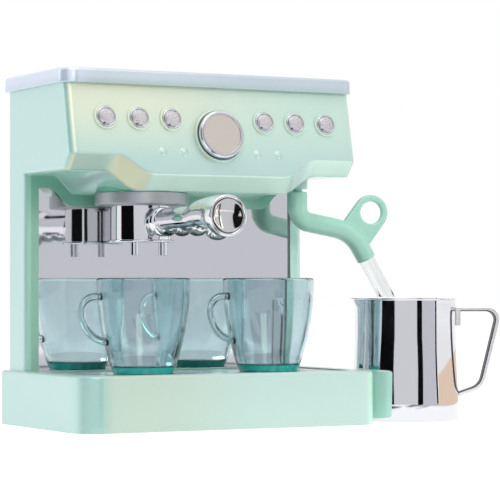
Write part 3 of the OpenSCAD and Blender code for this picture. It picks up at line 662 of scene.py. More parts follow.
def tinted_styrene():
    """Clear polystyrene with an aqua dye: the walls stay nearly grey, and the light that the thick bottom
    collects makes it a saturated teal band."""
    material, tree = begin_material("tinted_clear_styrene")
    bump = relief(tree, 10, 0, 0.1, 0.08)
    clear = add_node(tree, "BsdfPrincipled", {
        "Base Color": tone("#e0ebed"), "Roughness": wander(tree, 3, 2, 0.02, 0.05), "IOR": 1.45,
        "Transmission Weight": 1.0, "Normal": bump})
    thick = add_node(tree, "BsdfPrincipled", {
        "Base Color": hue("cup_floor"), "Roughness": 0.15, "IOR": 1.59, "Transmission Weight": 0.1,
        "Normal": bump})
    both = {0: mask(tree, "Z", 22.2, 21.6), 1: clear.outputs[0], 2: thick.outputs[0]}
    dye = add_node(tree, "VolumeAbsorption", {"Color": hue("cup"), "Density": 60.0})
    add_node(tree, "OutputMaterial", {"Surface": add_node(tree, "MixShader", both).outputs[0],
                                      "Volume": dye.outputs["Volume"]})
    return material


def clear_pvc():
    """Extruded soft clear PVC: almost invisible where it faces the eye, greyer at its edges, where the way
    through its wall is long."""
    material, tree = begin_material("clear_extruded_pvc")
    clear = add_node(tree, "BsdfPrincipled", {
        "Base Color": hue("tube"), "Roughness": wander(tree, 2, 2, 0.05, 0.12), "IOR": 1.32,
        "Transmission Weight": 1.0})
    haze = add_node(tree, "VolumeAbsorption", {"Color": tone("#808284"), "Density": 60.0})
    add_node(tree, "OutputMaterial", {"Surface": clear.outputs[0], "Volume": haze.outputs["Volume"]})
    return material


def make_finishes():
    """Make every material once, under the short name that the pieces call it by."""
    FINISHES.update(
        mint=pearl_mint_abs(), arm=satin_mint_abs(), lilac=lacquered_lilac_abs(), chrome=vacuum_chrome(),
        foil=mirror_foil(), cup=tinted_styrene(), tube=clear_pvc(), steel=zinc_steel(), inside=inner_abs(),
        collar=satin_metal_paint("satin_lilac_metal_paint", hue("collar"), 0.3, 0.38, 0.46),
        tray=satin_metal_paint("polished_silver_paint", hue("tray"), 0.4, 0.1, 0.16, 0.95),
        dial=satin_metal_paint("champagne_metal_paint", hue("champagne"), 0.25, 0.3, 0.38, 0.6),
        dish=champagne_plating(), seat=shaded_mint_abs(), edge=painted_edge_reflection(), strip=tumbled_steel(),
        # thin: the lobes' chrome, darkened by painted shade
        thin=lobe_shade_chrome(),
        cap=satin_metal_paint("rose_silver_paint", hue("rose_silver"), 0.25, 0.24, 0.32, 0.7))


def coat_nodes(finish, *nodes):
    """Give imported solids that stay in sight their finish."""
    for name in nodes:
        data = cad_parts[name].data
        data.materials.clear()
        data.materials.append(FINISHES[finish])


# ---------- casing ----------

def s_curve(x, outer, inner):
    """0 past the outer distance from the middle, 1 within the inner one, and an S between them."""
    t = (outer - abs(x)) / (outer - inner)
    return 0 if t <= 0 else 1 if t >= 1 else (1 - math.cos(math.pi * t)) / 2


def window_z(x):
    """Height of the mirror window's upper edge."""
    return WINDOW_TOP - WINDOW_DROP * s_curve(x, *WINDOW_ENDS)


def form_radius(a, b):
    """Radius of the form's edge between two points; most edges stay sharp."""
    above_base = max(a.z, b.z) > BASE_TOP + 0.1
    if near(abs(a.x), BODY_HALF) and near(a.x, b.x):
        if near(a.y, BODY_BACK) and near(b.y, BODY_BACK):
            return size("back_corner")
        if max(a.z, b.z) > FRONT_EDGE_Z + 1 and max(a.y, b.y) < 0:
            return size("face_corner")
        if min(a.z, b.z) > FLANK_Z - 0.1 and max(a.y, b.y) < 0:
            return size("face_corner") * 0.8
        if near(a.y, b.y) and near(a.y, COLUMN_Y) and above_base:
            return size("column_corner")
        return size("flank_fillet") if max(a.y, b.y) < COLUMN_Y + 0.1 and above_base else 0
    in_rows = max(a.z, b.z) < FRONT_EDGE_Z + 0.1 and min(a.z, b.z) > BELLY_Z - 0.1
    if in_rows and not near(a.x, b.x) and min(a.y, b.y) < COLUMN_Y + 0.1:
        return size("row_fillet") if all(p.z > window_z(p.x) + 0.5 for p in (a, b)) else 0
    return 0


def body_form(name):
    """The closed outer form of the head and columns: a side outline extruded across, cut into slices, and its
    lower rows pulled down along the S-curves."""
    front_row = (face_y(FRONT_EDGE_Z), FRONT_EDGE_Z)
    bevel_row = (BEVEL_BACK_Y, FLANK_Z)
    under_row = (COLUMN_Y, FLANK_Z)
    window_row = (COLUMN_Y, WINDOW_TOP)
    side = [(FACE_TOP_Y, BODY_TOP), front_row, bevel_row, under_row, window_row,
            (COLUMN_Y, BASE_TOP), (BODY_BACK, BASE_TOP), (BODY_BACK, BODY_TOP)]
    obj = outline(name, [(-BODY_HALF, y, z) for y, z in side], closed=True)
    edit(obj)
    pick_all()
    extrude(2 * BODY_HALF, 0, 0)
    slices = [23.5 + 1.1 * i for i in range(24)] + [WINDOW_HALF]
    for x in [s * x for x in slices for s in (-1, 1)]:
        pick_all()
        bpy.ops.mesh.bisect(plane_co=vec(x, 0, 0), plane_no=(1, 0, 0))
    # each row's place, where its S-curve starts and ends, and how far it drops
    rows = [(front_row, 41.0, 25.8, BELLY_DROP), (bevel_row, 43.5, 29.5, BELLY_DROP),
            (under_row, 47.5, 38.0, BELLY_DROP), (window_row, *WINDOW_ENDS, WINDOW_DROP)]
    mesh = bmesh.from_edit_mesh(obj.data)
    for v in mesh.verts:
        p = v.co / MM
        for (y, z), outer, inner, drop in rows:
            if near(p.y, y) and near(p.z, z):
                low = z - drop * s_curve(p.x, outer, inner)
                v.co = vec(p.x, face_y(low) if z == FRONT_EDGE_Z else y, low)
    weight = mesh.edges.layers.float.new("bevel_weight_edge")
    widest = max(size("back_corner"), size("column_corner"))
    for e in mesh.edges:
        e[weight] = form_radius(*(v.co / MM for v in e.verts)) / widest
    bmesh.update_edit_mesh(obj.data)
    pick_all()
    bpy.ops.mesh.normals_make_consistent(inside=False)
    leave()
    apply(obj, "BEVEL", width=widest * MM, segments=5, limit_method="WEIGHT", use_clamp_overlap=False)
    return obj


def drill(obj, radius, place, steps):
    """Cut a round hole through a wall."""
    combine(obj, put(turned("cutter", [(0, -4), (radius, -4), (radius, 3), (0, 3)], steps), place))


def make_shell(form):
    """The housing: the form without back, top, bottom and window, given a wall and the controls' holes."""
    obj = duplicate(form, "housing_shell")
    edit(obj)
    pick_all()
    bpy.ops.mesh.bisect(plane_co=vec(0, SEAM_Y - SEAM_GAP, 0), plane_no=(0, 1, 0), clear_outer=True)
    bpy.ops.mesh.select_mode(type="FACE")
    mesh = bmesh.from_edit_mesh(obj.data)
    for f in mesh.faces:
        spots = [v.co / MM for v in f.verts]
        level = abs(f.normal.z) > 0.99
        ends = any(all(near(p.z, z) for p in spots) for z in (BODY_TOP, BASE_TOP))
        in_window = all(near(p.y, COLUMN_Y) and abs(p.x) < WINDOW_HALF + 0.02 and p.z < window_z(p.x) + 0.02
                        for p in spots)
        f.select_set(level and ends or in_window)
    bmesh.update_edit_mesh(obj.data)
    bpy.ops.mesh.delete(type="FACE")
    leave()
    wall = size("wall")
    apply(obj, "SOLIDIFY", thickness=wall * MM, offset=-1, use_even_offset=True, use_rim=True)
    edit(obj)
    choose(obj, "VERT", lambda p: near(p.y, COLUMN_Y + wall, 0.05))
    bpy.ops.transform.translate(value=vec(0, WINDOW_LIP - wall, 0))
    # inner corners that the even wall threw past the flanks go back inside
    mesh = bmesh.from_edit_mesh(obj.data)
    for v in mesh.verts:
        if abs(v.co.x) > (BODY_HALF + 0.01) * MM:
            v.co.x = math.copysign((BODY_HALF - wall) * MM, v.co.x)
    bmesh.update_edit_mesh(obj.data)
    leave()
    for x in BUTTON_XS:
        drill(obj, 3.77, on_face(x, BUTTON_Z), 48)
    drill(obj, 2.1, on_face(*DIAL), 32)
    settle(obj, "machine", "mint", "mint_shell", "housing")


def make_back(form):
    """The back cover: the form's last slice, closed, with two panel lines and sunk screw holes."""
    obj = duplicate(form, "rear_cover")
    edit(obj)
    pick_all()
    bpy.ops.mesh.bisect(plane_co=vec(0, SEAM_Y + SEAM_GAP, 0), plane_no=(0, 1, 0), clear_inner=True,
                        use_fill=True)
    leave()
    clean(obj)
    line_half, line_width, line_depth = 46, 0.8, 0.5
    for z in (34.0, 112.0):
        low = (-line_half, BODY_BACK - line_depth, z)
        combine(obj, block("cutter", low, (line_half, BODY_BACK + 1, z + line_width)))
    shank, head = 1.25, 2.3
    hole = [(0, -6), (shank, -6), (shank, -1), (head, -1), (head, 2), (0, 2)]
    for x in (-54.3, 54.3):
        for z in (40, 108):
            place = shift(x, BODY_BACK, z) @ Matrix.Rotation(-math.pi / 2, 4, "X")
            combine(obj, put(turned("cutter", hole, 40), place))
    soften(obj, size("small_edge"), 2, 50)
    settle(obj, "machine", "mint", "mint_shell", "back_cover")


def make_seat():
    """The round seat over the collar."""
    seat = turned("group_seat", rounded([(0, 85.2), (16.1, 85.2, 0.2), (16.6, 90.0), (0, 90.0)]))
    # the seat takes the painted shade of the housing's green
    settle(put(seat, shift(*GROUP)), "machine", "seat", "mint_shell")


def make_boss():
    """The boss that the steam arm's peg goes into."""
    side = rounded([(1.8, 93), (1.8, 88.2), (3.75, 88.2, 0.25), (3.85, 91.4), (4.7, 92.4), (4.7, 93)])
    settle(put(turned("arm_boss", side, 64, closed=True), shift(*ARM)), "machine", "mint", "mint_shell")


def make_rims():
    """The raised rims round the six buttons and the dial."""
    r, low = size("rim_round"), -0.9
    side = rounded([(3.78, low), (4.85, low), (4.7, 0.05, 0.1), (4.6, 0.65, r), (3.78, 0.65, r)], closed=True)
    rims = copies(turned("button_rims", side, 72, closed=True), [on_face(x, BUTTON_Z) for x in BUTTON_XS])
    settle(rims, "machine", "mint", "mint_shell")
    side = rounded([(9.22, low), (10.3, low), (10.05, 0.1, 0.2), (9.9, 1.4, r), (9.22, 1.4, r)], closed=True)
    settle(put(turned("dial_rim", side, closed=True), on_face(*DIAL)), "machine", "mint", "mint_shell")


def make_domes():
    """The four small domes under the buttons."""
    arc = [(2 * math.cos(a), -1.25 + 2 * math.sin(a)) for a in [math.radians(43 + 7 * i) for i in range(7)]]
    dome = [(0, -0.9), (1.8, -0.9), (1.8, 0.0), (1.62, 0.05)] + arc + [(0, 0.75)]
    lamps = copies(turned("pilot_lamps", dome, 40), [on_face(x, LAMP_Z) for x in LAMP_XS])
    settle(lamps, "machine", "mint", "mint_shell")


def make_cover():
    """The top cover: a bevelled slab with a shallow shelf sunk into its top."""
    shelf = 0.8
    half, front, back = 60, -20.5, 37.5
    obj = block("cover", (-half, front, BODY_TOP), (half, back, COVER_TOP))
    round_corners(obj, size("cover_corner"), 10)
    edit(obj)
    choose(obj, "FACE", lambda p: near(p.z, COVER_TOP), (0, 0, 1))
    bpy.ops.mesh.inset(thickness=3.5 * MM)
    extrude(0, 0, -shelf)
    leave()

    def on_rim(p):
        return near(p.z, COVER_TOP) and (abs(p.x) > half - 2 or p.y < front + 2 or p.y > back - 2)

    bevel(obj, on_rim, size("cover_edge"), 5)
    bevel(obj, lambda p: near(p.z, BODY_TOP), 0.4, 3)
    bevel(obj, lambda p: near(p.z, COVER_TOP - shelf), size("small_edge"), 2)
    settle(obj, "machine", "lilac", "lilac_cover", "top_cover")


def plan_block(name, half, front, back, low, high, front_r, back_r):
    """A block with its own corner radius at the front and at the back."""
    obj = block(name, (-half, front, low), (half, back, high))
    for y, radius in ((front, front_r), (back, back_r)):
        round_corners(obj, radius, 10 if radius > 3 else 5, lambda p: near(p.y, y))
    return obj


def make_base():
    """The base: a block with rounded corners and top edge, hollow below, with a recess for the tray."""
    half, depth, hollow = 60.7, 37.5, 16.2
    obj = plan_block("base_housing", half, -depth, depth, 0, BASE_TOP, 9, 4)
    bevel(obj, lambda p: near(p.z, BASE_TOP), size("base_edge"), 5)
    edit(obj)
    choose(obj, "FACE", lambda p: near(p.z, 0), (0, 0, -1))
    bpy.ops.mesh.inset(thickness=size("wall") * MM)
    extrude(0, 0, hollow)
    leave()
    combine(obj, plan_block("cutter", 53.5, -33.5, 17.0, TRAY_FLOOR, BASE_TOP + 5, 9, 2))
    soften(obj, 0.25, 2, 60)
    settle(obj, "machine", "mint", "mint_shell", "base_shell")


def make_tray():
    """The drip tray: a thin plate with round-ended slots, one cutter repeated along it."""
    pitch = 4
    obj = plan_block("tray_plate", 53.0, -33.0, 16.5, TRAY_FLOOR, TRAY_TOP, 8.5, 1.5)
    cutter = block("cutter", (-46.85, -25.5, TRAY_FLOOR - 2), (-45.15, 9.0, TRAY_TOP + 2.5))
    round_corners(cutter, 0.8, 4)
    apply(cutter, "ARRAY", count=24, use_relative_offset=False, use_constant_offset=True,
          constant_offset_displace=vec(pitch, 0, 0))
    combine(obj, cutter)
    bevel(obj, lambda p: near(p.z, TRAY_TOP), 0.22, 2)
    settle(obj, "machine", "tray", "silver_trim", "drip_tray")


# ---------- controls ----------

def make_buttons():
    """Six chrome rings, and six caps with a chrome side and a satin crown."""
    side = rounded([(3.04, -1.8), (3.75, -1.8), (3.75, 0.8, 0.28), (3.04, 0.8, 0.28)], closed=True)
    rings = copies(turned("chrome_rings", side, 72, closed=True), [on_face(x, BUTTON_Z) for x in BUTTON_XS])
    settle(rings, "machine", "chrome", "chrome_plating", "button_rings")
    side = rounded([(0, -2.75), (3.65, -2.75), (3.65, -1.87), (2.95, -1.87), (2.95, 0.85, 0.1), (2.6, 0.8),
                    (2.55, 1.38, 0.08), (0, 1.42)])
    cap = turned("button_cap", side, 72)
    edit(cap)
    choose(cap, "FACE", lambda p: p.z > 1.36)
    leave()
    for p in cap.data.polygons:
        p.material_index = int(p.select)
    for i, x in enumerate(BUTTON_XS, 1):
        piece = put(duplicate(cap, f"cap_of_button_{i}"), on_face(x, BUTTON_Z))
        settle(piece, f"cap_{i}", "chrome cap", "chrome_plating", f"button_{i}")
    bpy.data.objects.remove(cap)


def make_dial():
    """The dial: a chrome knob with its shaft, and a flat face let into it."""
    side = rounded([(0, -11.2), (2, -11.2, 0.2), (2, 0.3), (8.9, 0.3, 0.15), (8.9, 3.6, 0.9),
                    (7.36, 3.6, 0.12), (7.36, 2.8), (0, 2.8)], 6)
    knob = put(turned("dial_body", side), on_face(*DIAL))
    settle(knob, "dial", "chrome", "chrome_plating", "dial_knob")
    side = rounded([(0, 2.82), (7.33, 2.82), (7.33, 3.38, 0.12), (6.9, 3.38), (0, 3.34)])
    face = put(turned("dial_plate", side), on_face(*DIAL))
    settle(face, "dial", "dial", "silver_trim", "dial_face")


# ---------- group and portafilter ----------

def make_group():
    """The collar under the head, with the groove that holds the portafilter."""
    side = rounded([(0, 84.2), (13.7, 84.2), (13.7, 82.2), (11.55, 82.2, 0.2), (11.55, 80.5, 0.3),
                    (17.15, 80.5, 0.7), (17.15, 85.19, 0.4), (0, 85.19)])
    collar = put(turned("collar_ring", side), shift(*GROUP))
    settle(collar, "machine", "collar", "grey_collar", "group_collar")


def handle_place():
    """Place of the handle: local Z runs out along it, a little raised, and local Y points up."""
    lean = math.atan(0.95 / (HANDLE_REACH - 11.2))
    return shift(*GROUP, HANDLE_Z) @ Matrix.Rotation(math.pi / 2 - lean, 4, "X")


def make_filter_body():
    """The plated body with its two lugs."""
    radius, lug_z = 11.2, 82.4
    side = rounded([(0, 67), (12.2, 67, 0.35), (12.2, 67.9, 0.35), (radius, 68.1), (radius, lug_z),
                    (radius, 83.9), (0, 83.9)])
    body = turned("filter_body", side)
    edit(body)
    choose(body, "FACE",
           lambda p: p.z > lug_z - 0.01 and math.hypot(p.x, p.y) > radius - 0.1 and abs(p.y) < 3.1)
    bpy.ops.mesh.extrude_region_shrink_fatten(TRANSFORM_OT_shrink_fatten={"value": 2 * MM})
    leave()
    settle(put(body, shift(*GROUP)), "portafilter", "chrome", "chrome_plating", "portafilter_body")


def make_spouts():
    """The two small spouts under the body."""
    side = rounded([(0, 63.9), (1.1, 63.9), (1.1, 62.3, 0.12), (1.6, 62.3, 0.15), (1.6, 67), (0, 67)])
    places = [shift(GROUP[0] + x, GROUP[1] - 5.9) for x in (-5.75, 5.75)]
    spouts = copies(turned("filter_spouts", side, 40), places)
    settle(spouts, "portafilter", "chrome", "chrome_plating", "portafilter_spouts")


# The grip and its flare: place along the handle, how far the centre is raised, radius
GRIP = [(19.2, 0.45, 4.2), (22, 0.45, 4.33), (34, 0.45, 4.3), (42, 0.5, 4.3), (45, 0.85, 4.65),
        (48, 1.2, 5.05), (52.5, 1.4, 5.4), (57.5, 1.35, 5.8), (60.5, 1.05, 6.25), (62.5, 0.6, 6.75),
        (64.5, 0.1, 7.15), (65.5, 0, 7.25)]
# The finger lobes: place along the handle, radius, how far the centre lies below
LOBES = ((21.5, 4.05, 1.4), (33, 4.15, 1.75), (45, 4.35, 1.9), (60, 4.9, 3.3))
LOBE_HALF = 2.0
LOBE_BLEND = 0.6


def grip_radius(way, z):
    """Distance from the handle's axis to its skin, and whether a finger lobe pulls it out there."""
    high, big = curve([(s, c) for s, c, _ in GRIP], z), curve([(s, r) for s, _, r in GRIP], z)
    along = way.y * high
    radius = along + math.sqrt(along * along - high * high + big * big)
    pulled = False
    for place, big, down in LOBES:
        ring = big * big - (z - place) ** 2
        along = -way.y * down
        inside = along * along - down * down + ring
        if ring > 0 and inside > 0:
            reach = along + math.sqrt(inside)
            blend = max(LOBE_BLEND - abs(radius - reach), 0) / LOBE_BLEND
            narrow = min(max((1.3 - abs(way.x) * radius / LOBE_HALF) / 0.3, 0), 1)
            full = max(radius, reach) + blend * blend * LOBE_BLEND / 4 - radius
            grown = full * narrow * narrow * (3 - 2 * narrow)
            radius += grown
            pulled = pulled or grown > 0.25
    return radius, pulled


def make_handle():
    """A spun neck, ring, grip and flared end; the grip is shaped round its raised centre, with the finger
    lobes pulled out below."""
    tip = HANDLE_REACH
    neck = rounded([(0, 10.6), (3.3, 10.6), (3.3, 15.8, 0.3), (4.9, 16.2, 0.4), (5.4, 16.8, 0.5),
                    (5.4, 17.8, 0.5), (4.9, 18.5, 0.3), (3.9, 18.8, 0.2), (4.1, 19.2)])
    grip = [(5, 19.2 + 0.55 * i) for i in range(84)]
    end = rounded([(7.25, 65.4), (7.25, tip, 0.75), (6.3, tip, 0.5), (5.82, tip - 0.9), (5.82, tip - 1.2),
                   (0, tip - 1.2)], 6)
    obj = turned("filter_handle", neck[:-1] + grip + end[1:])
    edit(obj)
    mesh = bmesh.from_edit_mesh(obj.data)
    lobes = set()
    for v in mesh.verts:
        z = v.co.z / MM
        flat = Vector((v.co.x, v.co.y)) / MM
        if 19.1 < z < 65.3 and flat.length >= 2:
            way = flat.normalized()
            radius, pulled = grip_radius(way, z)
            v.co = Vector((way.x * radius, way.y * radius, z)) * MM
            if pulled:
                lobes.add(v)
    # faces on the finger lobes take the darker chrome: painted shade
    for face in mesh.faces:
        face.material_index = int(all(v in lobes for v in face.verts))
    bmesh.update_edit_mesh(obj.data)
    leave()
    settle(put(obj, handle_place()), "portafilter", "chrome thin", "chrome_plating", "portafilter_handle",
           angle=40)


def make_handle_cap():
    """The plated disc let into the handle's end, dished like a shallow bowl."""
    bowl, edge = 19.4, HANDLE_REACH - 0.12
    rim = math.sqrt(bowl ** 2 - 5.6 ** 2)
    dish = [(r, edge - math.sqrt(bowl ** 2 - r * r) + rim) for r in (5.6, 4.8, 4, 3.2, 2.4, 1.6, 0.8, 0)]
    back = HANDLE_REACH - 1.18
    cap = turned("handle_end", [(0, back), (5.79, back), (5.79, HANDLE_REACH - 0.2), (5.72, edge)] + dish)
    settle(put(cap, handle_place()), "portafilter", "dish", "silver_trim", "handle_cap")


# ---------- steam arm ----------

# The arm's bends in its own plane: centre of the first as (outwards, height), where the second starts,
# their radii, and the slopes before and after the second
FIRST_BEND = (5.5, 80.9)
SECOND_BEND_X = 15.5
BEND_RADII = (5.5, 15.0)
SLOPES = (math.radians(11), math.radians(60.5))
TIP_LENGTH, TIP_RADIUS = 5.2, 3.75
PEG_RADIUS, PEG_TOP, PEG_FOOT = 1.7, 94, 87.1
TUBE_FOOT = 46.85


def arm_place():
    return shift(*ARM) @ Matrix.Rotation(ARM_SWING, 4, "Z")


def arm_bends():
    """Step between the bends, centre of the second one, and where it ends."""
    (small, large), (flat, steep) = BEND_RADII, SLOPES
    start = (small * (1 - math.sin(flat)), FIRST_BEND[1] - small * math.cos(flat))
    step = (SECOND_BEND_X - start[0], -(SECOND_BEND_X - start[0]) * math.tan(flat))
    second = (SECOND_BEND_X - large * math.sin(flat), start[1] + step[1] - large * math.cos(flat))
    return step, second, (second[0] + large * math.sin(steep), second[1] + large * math.cos(steep))


def make_tongue():
    """The tongue of the finger ring: a flat outline with a round end and a hole in it."""
    radius, half = 6.9, 1.3
    root, eye = Vector((22.4, 69.5)), Vector((29.9, 79.5))
    lean = math.atan2(eye.y - root.y, eye.x - root.x)
    along = Vector((math.cos(lean), math.sin(lean)))
    across = Vector((-along.y, along.x))
    angles = [math.radians(t) for t in range(-90, 91, 6)]
    arc = [eye + radius * (along * math.cos(a) - across * math.sin(a)) for a in angles]
    shape = [root + across * radius] + arc + [root - across * radius]
    tongue = outline("tongue", [(p.x, -half, p.y) for p in shape], closed=True)
    edit(tongue)
    pick_all()
    extrude(0, 2 * half, 0)
    leave()
    clean(tongue)
    hole = turned("cutter", [(0, -6), (4.35, -6), (4.35, 6), (0, 6)], 64)
    combine(tongue, put(hole, shift(eye.x, 0, eye.y) @ Matrix.Rotation(math.pi / 2, 4, "X")))
    soften(tongue, 0.75, 4, 50)
    return tongue


def make_arm():
    """The arm: a circle extruded and spun along its bends, with the finger ring's tongue merged in."""
    r = size("arm_radius")
    flat, steep = SLOPES
    step, second, end = arm_bends()
    out = Vector((math.cos(steep), 0, -math.sin(steep)))
    deselect()
    bpy.ops.mesh.primitive_circle_add(vertices=48, radius=PEG_RADIUS * MM, location=vec(0, 0, PEG_TOP),
                                      fill_type="NGON")
    arm = named("arm_body")
    bpy.ops.object.transform_apply(location=True, rotation=True, scale=True)

    def grow(k, at):
        bpy.ops.transform.resize(value=(k, k, k), center_override=vec(*at))

    edit(arm)
    pick_all()
    extrude(0, 0, PEG_FOOT - PEG_TOP)
    extrude(0, 0, 0)
    grow(r / PEG_RADIUS, (0, 0, PEG_FOOT))
    extrude(0, 0, FIRST_BEND[1] - PEG_FOOT)
    bpy.ops.mesh.spin(steps=14, angle=math.pi / 2 - flat, center=vec(FIRST_BEND[0], 0, FIRST_BEND[1]),
                      axis=(0, 1, 0))
    extrude(step[0], 0, step[1])
    bpy.ops.mesh.spin(steps=14, angle=steep - flat, center=vec(second[0], 0, second[1]), axis=(0, -1, 0))
    extrude(*out * TIP_LENGTH)
    grow(TIP_RADIUS / r, Vector((end[0], 0, end[1])) + out * TIP_LENGTH)
    leave()
    clean(arm)
    only(arm, make_tongue())
    bpy.ops.object.join()
    arm = named("steam_arm_body")
    apply(arm, "REMESH", mode="VOXEL", voxel_size=0.3 * MM)
    apply(arm, "SMOOTH", factor=0.5, iterations=6)
    settle(put(arm, arm_place()), "arm", "arm", "mint_shell", "steam_arm", angle=80)


def make_tube():
    """The clear tube on the arm's end: turned with a thicker sleeve, then cut off level."""
    bore = 1.9
    side = [(bore, 0.4), (2.28, 0.4), (2.28, 5.2), (3.05, 5.25), (3.05, 34), (bore, 34)]
    tube = turned("clear_steam_tube", side, 64, closed=True)
    end = arm_bends()[2]
    put(tube, shift(end[0], 0, end[1]) @ Matrix.Rotation(math.pi / 2 + SLOPES[1], 4, "Y"))
    edit(tube)
    pick_all()
    bpy.ops.mesh.bisect(plane_co=vec(0, 0, TUBE_FOOT), plane_no=(0, 0, -1), clear_outer=True, use_fill=False)
    choose(tube, "EDGE", lambda p: near(p.z, TUBE_FOOT))
    bpy.ops.mesh.bridge_edge_loops()
    leave()
    clean(tube)
    settle(put(tube, arm_place()), "arm", "tube", "clear_tube", "steam_tube")


# ---------- cups ----------

# Outer radius of a cup as a share of its widest, at shares of its height
CUP_SHAPE = [(0, 0.618), (0.04, 0.668), (0.13, 0.735), (0.26, 0.812), (0.38, 0.875), (0.49, 0.918),
             (0.6, 0.953), (0.74, 0.982), (0.87, 0.995), (0.98, 1)]


def make_bowl():
    """A cup's bowl, turned, with a rounded rim and a thick bottom."""
    floor, half = size("cup_floor"), size("cup_wall") / 2
    heights = [0.6 + i * (CUP_H - 1.6) / 22 for i in range(23)]
    outer = [(CUP_R * curve(CUP_SHAPE, z / CUP_H), z) for z in heights]
    inner = [(r - 2 * half, z) for r, z in outer if z > floor + 1.6]
    angles = [math.radians(t) for t in range(0, 181, 20)]
    rim = [(CUP_R - half + half * math.cos(a), CUP_H - half + half * math.sin(a)) for a in angles]
    well = rounded([inner[0], (inner[0][0] - 0.3, floor, 1.0), (0, floor)])
    foot = [(0, 0), (10.35, 0), (10.72, 0.12)]
    return turned("cup_body", foot + outer + rim + inner[::-1] + well[1:])


def make_ear():
    """A cup's ear: a circle extruded and spun twice, from the wall out and back to it."""
    top, low = 27.9, 22.4
    deselect()
    bpy.ops.mesh.primitive_circle_add(vertices=32, radius=1.37 * MM, location=(0, 0, 0), fill_type="NGON")
    ear = named("ear")
    put(ear, shift(-16.1, 0, top) @ Matrix.Rotation(math.pi / 2, 4, "Y"))
    edit(ear)
    pick_all()
    extrude(-2.9, 0, 0)
    for steps, degrees, x in ((14, 90, -19.0), (20, 90.5, -13.7)):
        bpy.ops.mesh.spin(steps=steps, angle=math.radians(degrees), center=vec(x, 0, low), axis=(0, 1, 0))
    leave()
    return clean(ear)


def make_cups():
    """Two cups, each a bowl with an ear merged into its wall."""
    bowl = make_bowl()
    combine(bowl, make_ear(), "UNION")
    for side, x in CUP_XS.items():
        piece = put(duplicate(bowl, f"toy_cup_{side}"), shift(x, CUP_Y, TRAY_TOP))
        settle(piece, f"{side}_cup", "cup", "tinted_clear", f"cup_{side}")
    bpy.data.objects.remove(bowl)


# ---------- milk jug ----------

def jug_place():
    return shift(*JUG) @ Matrix.Rotation(JUG_TURN, 4, "Z")


def make_jug():
    """The jug: a thin turned shell with a lip, and a beak pulled out of it."""
    beak, beak_half = 4, 0.42
    outer = [(19.6, 0), (20.3, 0.3), (20.6, 1.0), (20.6, 4), (20.6, 6.2), (20.55, 7.4), (20.45, 9.5),
             (20.24, 14), (19.93, 20), (19.65, 26), (19.48, 32), (19.45, 38), (19.45, 43), (19.45, 44.2)]
    lip = [(r, JUG_H - below) for r, below in (
        (19.45, 0.9), (19.47, 0.75), (19.62, 0.55), (19.85, 0.35), (19.85, 0.12), (19.7, 0), (19.2, 0),
        (18.6, 0.15), (18.4, 0.5))]
    inner = [(18.4, 43), (18.2, 38), (18.25, 32), (18.42, 26), (18.7, 20), (19.1, 14), (19.32, 9.5),
             (19.4, 5), (19.3, 3), (18.6, 1.7), (17.5, 1.5), (0, 1.5)]
    obj = turned("jug_body", [(0, 0), (15, 0)] + outer + lip + inner, 128)
    edit(obj)
    mesh = bmesh.from_edit_mesh(obj.data)
    for v in mesh.verts:
        p = v.co / MM
        radius, away = Vector((p.x, p.y)).length, abs(math.atan2(p.y, -p.x))
        if radius > 15 and p.z > JUG_H - beak and away < beak_half:
            rise = (p.z - (JUG_H - beak)) / beak
            v.co += vec(-1.9 * rise ** 1.6 * math.cos(away / beak_half * math.pi / 2) ** 2, 0, 0)
    bmesh.update_edit_mesh(obj.data)
    leave()
    settle(put(obj, jug_place()), "jug", "chrome", "chrome_plating", "milk_jug", angle=45)


def jug_strip():
    """Side view of the strip handle: x runs out from the jug's axis."""
    t, top, far, lean = 1.7, 42.2, 36.3, 13.6

    def arc(cx, cz, r, start, stop, steps=10):
        angles = [math.radians(start + (stop - start) * i / steps) for i in range(steps + 1)]
        return [(cx + r * math.cos(a), cz + r * math.sin(a)) for a in angles]

    def bend(r, *angles):
        return arc(far - 5, top + t / 2 - 5, r, *angles)

    def foot(r, *angles):
        return arc(23.9, 17.5, r, *angles)

    outer = [(19.3, top + t / 2)] + bend(5, 90, -lean) + foot(7.3, -lean, -71) + [(20.35, 8.5)]
    inner = [(20.35, 10.37)] + foot(5.6, -71, -lean) + bend(5 - t, -lean, 90) + [(21.3, top - t / 2)]
    return outer, inner + [(21.3, 35.6), (19.3, 35.6)]


def distance(spot, a, b):
    """From a spot to the line between two points, or to the first of them past the line's ends."""
    foot, share = intersect_point_line(spot, a, b)
    return (spot - (foot.to_2d() if 0 <= share <= 1 else a)).length


def make_strip():
    """The jug's bent strip handle; its inner edge carries a painted dark reflection."""
    width = 4.6
    outer, inner = jug_strip()
    strip = outline("strip", [(x, -width / 2, z) for x, z in outer + inner], closed=True)
    edit(strip)
    pick_all()
    extrude(0, width, 0)
    leave()
    clean(strip)
    strip.name = "jug_strip_handle"
    soften(strip, 0.4, 3, 50)
    # faces along the inner edge take the painted dark reflection
    line = [Vector(p) for p in inner[:-2]]
    for f in strip.data.polygons:
        spot = Vector((f.center.x, f.center.z)) / MM
        f.material_index = int(min(distance(spot, a, b) for a, b in zip(line, line[1:])) < 0.45)
    settle(put(strip, jug_place()), "jug", "strip edge", "chrome_plating", "jug_handle", angle=40)


# ---------- stage ----------

CAMERA_AT = (-384.26, -758.5, 50.97)
CAMERA_YAW = math.radians(28.39)
CAMERA_PITCH = math.radians(0.912)
CAMERA_ROLL = math.radians(-0.061)
CAMERA_LENS = 164.8
# Centres that the cards stand and lie round, and the cards' usual lower and upper edges
MIDDLE = (30, 0)
HANDLE_END = (-20, -70)
CARD_FOOT = -20
CARD_TOP = 700


